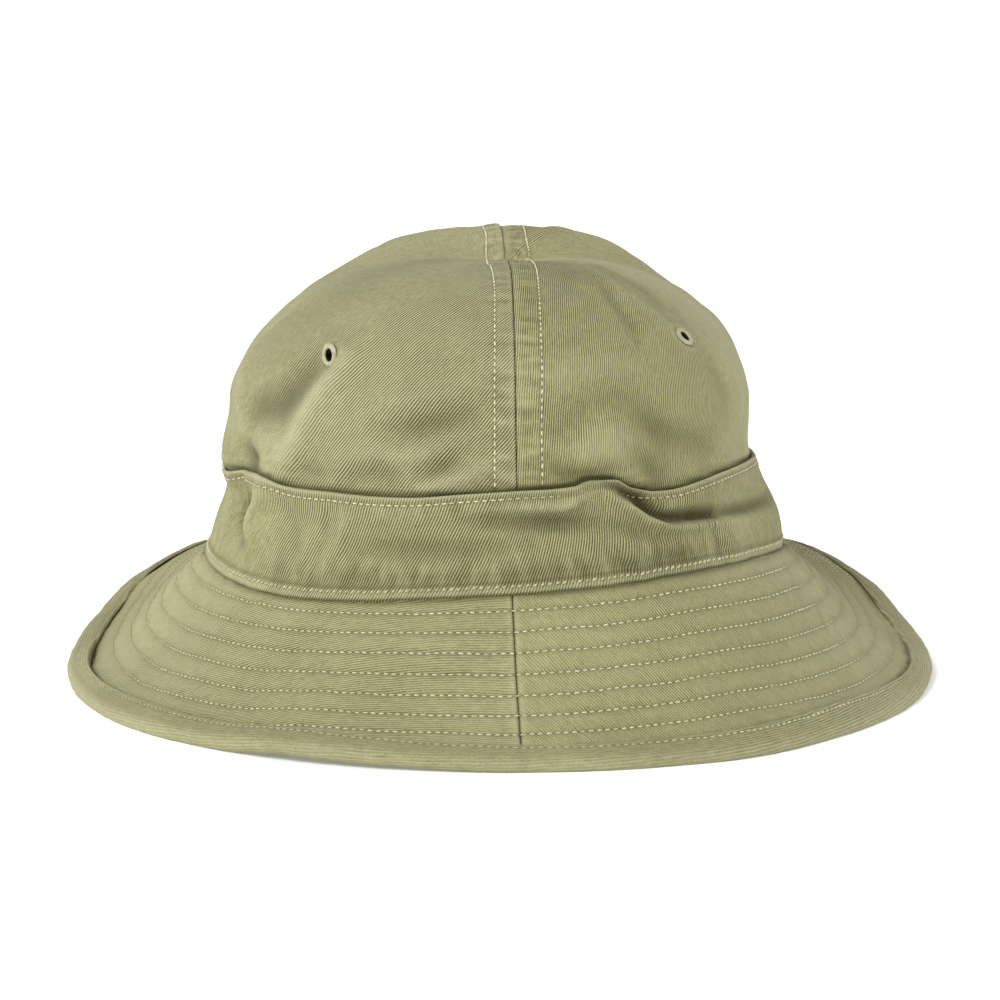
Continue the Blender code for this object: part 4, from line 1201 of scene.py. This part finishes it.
def sewBandStitches():
    # a row under the top edge, where the buckle's cloth closes over it, and thick slanting
    # stitches along the foot
    azimuth = np.linspace(-math.pi, math.pi, 2400)
    turn, top = np.degrees(azimuth), bandTop(azimuth)
    sunk = 0.28 * mm * ramp(np.minimum(turn - 8, 30 - turn), 0, 3)
    rows = []
    for share, under, style in (
            (1 - band["edgeLine"] / top, sunk, (31, "thin")),
            (band["seatLine"] / top, 0 * sunk, (33, "thick", thread["thickSlant"]))):
        normals = crownNormal(azimuth, levelAt(share * top))
        points = bandSurface(azimuth, share, bandLift)[0] - under[:, None] * normals
        rows.append(stitchRow(points, normals, *style))
    sewStitches("band_edge_stitches", rows[:1], band["edgeBright"], fading=(360, 360))
    sewStitches("band_foot_stitches", rows[1:], band["footBright"], fading=(100, 140))


def sewBrimStitches(name, side):
    # seven rows on one face of the brim, each only where the binding leaves it free
    azimuth = np.linspace(-math.pi, math.pi, 3600)
    rows = []
    for number in range(brim["lines"]):
        share = lineOffset(azimuth, number) / brimSlope(azimuth)
        point, normal = brimPoint(azimuth, share), brimNormal(azimuth, share)
        relief = brimRelief(azimuth, share) if side > 0 else 0.7 * brimRelief(azimuth, share, 9.0)
        points = point + side * (hat["brimCloth"] / 2 + relief)[:, None] * normal
        seen = share < bindingStart(azimuth) - 0.008
        for part in np.split(np.arange(len(azimuth)), np.nonzero(np.diff(seen))[0] + 1):
            if len(part) > 40 and seen[part[0]]:
                rows.append(stitchRow(points[part], side * normal[part], 40 + number))
    return sewStitches(name, rows, brim["bright"])


def sewBindingStitches():
    # one row below and one above, beside the binding's edges
    azimuth = np.linspace(-math.pi, math.pi, 3600)
    place = binding["stitchLine"] / leafWidth
    rows = []
    for along, side in ((place, -1), (3 - place, 1)):
        along = np.full(azimuth.shape, along)
        points = bindingSection(azimuth, along, np.full(azimuth.shape, tipRadius),
                                bindingRelief(azimuth, along))
        normals = side * brimNormal(azimuth, bindingStart(azimuth))
        rows.append(stitchRow(points, normals, 60 + side))
    return sewStitches("binding_stitches", rows, binding["bright"], fading=(85, 122))


def newGroup(name, inputs, outputs):
    # an empty shader group, with its given values and the sockets for what it makes
    group = bpy.data.node_groups.new(name, "ShaderNodeTree")
    for label, kind, value in inputs:
        socket = group.interface.new_socket(label, in_out="INPUT", socket_type=kind)
        if value is not None:
            socket.default_value = value
    for label, kind in outputs:
        group.interface.new_socket(label, in_out="OUTPUT", socket_type=kind)
    return group, group.nodes.new("NodeGroupInput").outputs, group.nodes.new("NodeGroupOutput").inputs


def put(tree, kind, values=None, **settings):
    # adds a node with its settings; values are sockets to link or constants to set
    node = tree.nodes.new(kind)
    for setting, value in settings.items():
        setattr(node, setting, value)
    for socket, value in (values or {}).items():
        if isinstance(value, bpy.types.NodeSocket):
            tree.links.new(value, node.inputs[socket])
        else:
            node.inputs[socket].default_value = value
    return node


def work(tree, operation, *values):
    # one step of arithmetic
    return put(tree, "ShaderNodeMath", dict(enumerate(values)), operation=operation).outputs[0]


def noise(tree, vector, scale, detail):
    # soft noise from 0 to 1
    inputs = {"Vector": vector, "Scale": scale, "Detail": detail}
    return put(tree, "ShaderNodeTexNoise", inputs).outputs[0]


def vary(tree, tone, value, weight):
    # the tone plus (value - 0.5) times the weight
    return work(tree, "MULTIPLY_ADD", work(tree, "SUBTRACT", value, 0.5), weight, tone)


def between(tree, value, low, high, least=0.0, most=1.0):
    # low..high taken to least..most, and held there
    return put(tree, "ShaderNodeMapRange", {0: value, 1: low, 2: high, 3: least, 4: most}).outputs[0]


def mask(tree, name):
    # a value that the piece's own mesh carries
    return put(tree, "ShaderNodeAttribute", attribute_name=name).outputs["Fac"]


def mixColour(tree, factor, low, high):
    # from one colour to the other by the factor
    return put(tree, "ShaderNodeMix", {0: factor, 6: low, 7: high}, data_type="RGBA").outputs[2]


def newMaterial(name, inputs):
    # a material with constants set on its shader
    material = bpy.data.materials.new(name)
    material.use_nodes = True
    shader = material.node_tree.nodes["Principled BSDF"]
    for socket, value in inputs.items():
        shader.inputs[socket].default_value = value
    return material, material.node_tree, shader


weave = {
    # noises, in wales: scale, detail and weight
    "wander": (0.09, 1.0, 0.9), "slub": (1.1, 3.0, 0.8), "speck": (1.3, 2.0, 0.7),
    "patch": (0.045, 2.0, 1.6), "patchLeast": 0.2,
    "drawn": 0.22,               # how much longer a slub is than wide, as a share
    "links": (0.62, 0.10),       # how many along each wale's width, and how deep
}


def makeTwill():
    # cloth of slanting wales: each is a rounded rib, sin of the way across it, broken into
    # short links by a slower sine along it; uneven threads are noise drawn out along the wale
    group, given, made = newGroup(
        "twillWeave",
        [("Vector", "NodeSocketVector", None), ("Turn", "NodeSocketFloat", 0.8),
         ("Wale", "NodeSocketFloat", 0.0013), ("Contrast", "NodeSocketFloat", 1.0)],
        [("Tone", "NodeSocketFloat"), ("Height", "NodeSocketFloat")])
    turned = put(group, "ShaderNodeVectorRotate", {"Vector": given["Vector"], "Angle": given["Turn"]},
                 rotation_type="Z_AXIS").outputs[0]
    size = work(group, "DIVIDE", 1.0, given["Wale"])
    sized = put(group, "ShaderNodeVectorMath", {0: turned, "Scale": size}, operation="SCALE").outputs[0]
    wander, slub, speck, patch = (weave[kind] for kind in ("wander", "slub", "speck", "patch"))
    axes = put(group, "ShaderNodeSeparateXYZ", {0: sized}).outputs
    along = axes[0]
    across = work(group, "MULTIPLY_ADD", noise(group, sized, *wander[:2]), wander[2], axes[1])
    rib = work(group, "SINE", work(group, "MULTIPLY", across, tau))
    rib = work(group, "MULTIPLY_ADD", rib, 0.5, 0.5)
    turns, depth = weave["links"]
    links = work(group, "MULTIPLY_ADD", along, turns, work(group, "MULTIPLY", across, 0.5))
    links = work(group, "SINE", work(group, "MULTIPLY", links, tau))
    rib = work(group, "MULTIPLY", rib, work(group, "MULTIPLY_ADD", links, depth, 1.0))
    drawn = work(group, "MULTIPLY", along, weave["drawn"])
    stretched = put(group, "ShaderNodeCombineXYZ", {0: drawn, 1: across}).outputs[0]
    strong = work(group, "MULTIPLY_ADD", noise(group, sized, *patch[:2]), patch[2], weave["patchLeast"])
    strong = work(group, "MULTIPLY", given["Contrast"], strong)
    swing = work(group, "MULTIPLY", work(group, "SUBTRACT", rib, 0.5), strong)
    height = vary(group, swing, noise(group, stretched, *slub[:2]), slub[2])
    tone = vary(group, work(group, "ADD", height, 0.5), noise(group, sized, *speck[:2]), speck[2])
    group.links.new(tone, made["Tone"])
    group.links.new(height, made["Height"])
    return group


chino = {
    "shade": (0.095, 0.088, 0.036, 1), "light": (0.455, 0.438, 0.245, 1),
    # worn is the paler colour of worn edges and of painted highlight; deep is the colour of painted
    # shade
    "wornAndLit": (0.480, 0.464, 0.290, 1), "deep": (0.058, 0.051, 0.014, 1),
    "shader": {"Roughness": 0.88, "Sheen Weight": 0.05, "Sheen Roughness": 0.5,
               "Specular IOR Level": 0.15},
    "relief": {"Strength": 0.8, "Distance": 0.16 * mm},
    # noises over the cloth: scale, detail and weight; ripple also makes streaks of painted shade and
    # highlight for small puckers
    "blotch": (26.0, 4.0, 0.55), "fine": (420.0, 2.0, 0.35), "ripple": (330.0, 1.0, 1.7),
    "rippleHeight": 3.0,
    "tones": (-0.2, 1.2),        # from the shade to the light colour
    # ridge and valley give painted highlight on fold ridges and painted shade in fold valleys; the
    # paler shares are worn edges with painted highlight, the darker ones painted shade in creases
    "ridge": (0.2, 3.0), "valley": (-0.2, -3.4),    # mm of fold, from none to full effect
    "wearAndHighlight": (0.35, 0.40),        # paler, at the edges and on ridges
    "shadeShares": (0.75, 0.74),         # darker, in creases and in valleys
}


def twill(name, turn, wale, contrast, across=(0.2, 1.0), tint=1.0, warm=2.0):
    # tone of the weave between two colours, edges paler with wear and painted highlight, painted shade
    # in creases, painted pucker streaks, a slow unevenness over the whole hat; the weave is weaker on
    # ridges and where the cloth is calm
    material, tree, shader = newMaterial(name + "_twill", chino["shader"])
    cloth = put(tree, "ShaderNodeUVMap", uv_map="cloth").outputs[0]
    place = put(tree, "ShaderNodeTexCoord").outputs["Object"]
    ridge = between(tree, mask(tree, "fold"), *chino["ridge"])
    valley = between(tree, mask(tree, "fold"), *chino["valley"])
    plain = work(tree, "MAXIMUM", mask(tree, "calm"), work(tree, "MULTIPLY", ridge, 0.6))
    strong = work(tree, "MULTIPLY", work(tree, "SUBTRACT", 1.0, plain), contrast)
    woven = put(tree, "ShaderNodeGroup", node_tree=twillWeave)
    for socket, value in (("Turn", -math.radians(turn)), ("Wale", wale * mm)):
        woven.inputs[socket].default_value = value
    tree.links.new(cloth, woven.inputs["Vector"])
    tree.links.new(strong, woven.inputs["Contrast"])

    tone = woven.outputs["Tone"]
    for kind in ("blotch", "fine"):
        scale, detail, weight = chino[kind]
        tone = vary(tree, tone, noise(tree, place, scale, detail), weight)
    # streaks of painted shade and highlight for small puckers, bumped as well
    scale, detail, weight = chino["ripple"]
    drawn = put(tree, "ShaderNodeVectorMath", {0: cloth, 1: (*across, 0)}, operation="MULTIPLY")
    ripple = work(tree, "SUBTRACT", noise(tree, drawn.outputs[0], scale, detail), 0.5)
    ripple = work(tree, "MULTIPLY", ripple, mask(tree, "puckerShading"))
    tone = work(tree, "MULTIPLY_ADD", ripple, weight, tone)
    tinted = (tint, tint, tint ** warm, 1)
    shade, pale = ([part * by for part, by in zip(chino[kind], tinted)] for kind in ("shade", "light"))
    colour = mixColour(tree, between(tree, tone, *chino["tones"]), shade, pale)
    # paler toward worn edges, with painted highlight there and on fold ridges; painted shade in creases
    # and fold valleys
    for edge, fold, (edgeShare, foldShare), target in (
            ("fade", ridge, chino["wearAndHighlight"], "wornAndLit"), ("paintedShade", valley, chino["shadeShares"], "deep")):
        much = work(tree, "MULTIPLY", fold, foldShare)
        much = work(tree, "MULTIPLY_ADD", mask(tree, edge), edgeShare, much)
        colour = mixColour(tree, much, colour, chino[target])
    tree.links.new(colour, shader.inputs["Base Color"])
    height = work(tree, "MULTIPLY_ADD", ripple, chino["rippleHeight"], woven.outputs["Height"])
    relief = put(tree, "ShaderNodeBump", {**chino["relief"], "Height": height})
    tree.links.new(relief.outputs[0], shader.inputs["Normal"])
    return material


def makeThread():
    # each stitch has a tone of its own between two creams, roughened along its length
    material, tree, shader = newMaterial("sewing_thread", {"Roughness": 0.7})
    place = put(tree, "ShaderNodeTexCoord").outputs["Object"]
    scale, detail, weight = thread["ply"]
    tone = vary(tree, mask(tree, "tone"), noise(tree, place, scale, detail), weight)
    tree.links.new(mixColour(tree, tone, *thread["colours"]), shader.inputs["Base Color"])
    return material


def makeEnamel():
    # cream paint, slightly chipped to a duller tone where noise is high, and near black painted shade
    # down the bore
    material, tree, shader = newMaterial("cream_enamel", {"Roughness": 0.38})
    place = put(tree, "ShaderNodeTexCoord").outputs["Object"]
    chips = between(tree, noise(tree, place, *eyelet["chips"]), 0.45, 0.75)
    colour = mixColour(tree, chips, eyelet["paint"], eyelet["chipped"])
    colour = mixColour(tree, mask(tree, "boreShade"), colour, eyelet["hole"])
    tree.links.new(colour, shader.inputs["Base Color"])
    return material


twillWeave = makeTwill()
threadLook = makeThread()
enamel = makeEnamel()

for name, gore in gores.items():
    sewGore(name, gore)
    setEyelet(*gore["eyelet"])
print("crown made")
sewCrownStitches()
sewBand()
sewBandStitches()
print("band made")
for name, half in brims.items():
    sewBrim(name, half)
sewBrimStitches("brim_stitches", 1)
sewBrimStitches("brim_stitches_under", -1)
sewBinding()
sewBindingStitches()
print("brim made")


light = {
    "skyTop": 0.40, "skyEdge": 0.32, "sideGlow": 2.05, "backdrop": 1.15,
    "keyPower": 2.34, "keyAngle": 22, "keySide": 30, "keyUp": 36,    # degrees
    "floorHalf": 20.0,
    "floor": {"Base Color": (0.96, 0.96, 0.96, 1), "Roughness": 0.9, "Specular IOR Level": 0.0,
              "Emission Color": (1, 1, 1, 1), "Emission Strength": 0.20},
}


def makeStudio():
    # a pale floor, a sky brighter overhead and to both sides, and one soft key light
    half = light["floorHalf"]
    floorMesh = bpy.data.meshes.new("floor")
    floorMesh.from_pydata([(-half, -half, 0), (half, -half, 0), (half, half, 0), (-half, half, 0)],
                          [], [(0, 1, 2, 3)])
    floorMesh.materials.append(newMaterial("floor_paint", light["floor"])[0])
    floor = bpy.data.objects.new("floor", floorMesh)
    bpy.context.scene.collection.objects.link(floor)

    world = bpy.data.worlds.new("studio")
    world.use_nodes = True
    bpy.context.scene.world = world
    tree = world.node_tree
    ground = tree.nodes["Background"]
    way = put(tree, "ShaderNodeTexCoord").outputs["Generated"]
    axes = put(tree, "ShaderNodeSeparateXYZ", {0: way}).outputs
    overhead = between(tree, axes[2], 0.0, 0.9, light["skyEdge"], light["skyTop"])
    aside = work(tree, "POWER", work(tree, "ABSOLUTE", axes[0]), 3.0)
    sky = work(tree, "ADD", overhead, work(tree, "MULTIPLY", aside, light["sideGlow"]))
    seen = put(tree, "ShaderNodeLightPath").outputs["Is Camera Ray"]
    strength = put(tree, "ShaderNodeMix", {0: seen, 2: sky, 3: light["backdrop"]})
    ground.inputs["Color"].default_value = (1, 1, 1, 1)
    tree.links.new(strength.outputs[0], ground.inputs["Strength"])

    lamp = bpy.data.lights.new("key", "SUN")
    lamp.angle = math.radians(light["keyAngle"])
    lamp.energy = light["keyPower"]
    key = bpy.data.objects.new("key", lamp)
    key.rotation_euler = (math.radians(90 - light["keyUp"]), 0, -math.radians(light["keySide"]))
    bpy.context.scene.collection.objects.link(key)


# 885 mm from what it looks at: the middle of the hat, 53 mm up
camera = {"lens": 102.6, "sensor": 36.0, "place": (0.0, -0.8764, 0.1759), "down": 8}


def setCamera():
    # level from side to side, straight in front of the hat and turned down toward it
    lens = bpy.data.cameras.new("camera")
    lens.lens = camera["lens"]
    lens.sensor_width = camera["sensor"]
    eye = bpy.data.objects.new("camera", lens)
    eye.location = camera["place"]
    eye.rotation_euler = (math.radians(90 - camera["down"]), 0.0, 0.0)
    bpy.context.scene.collection.objects.link(eye)
    bpy.context.scene.camera = eye


makeStudio()
setCamera()
bpy.context.scene.view_settings.view_transform = "Standard"

print("done")
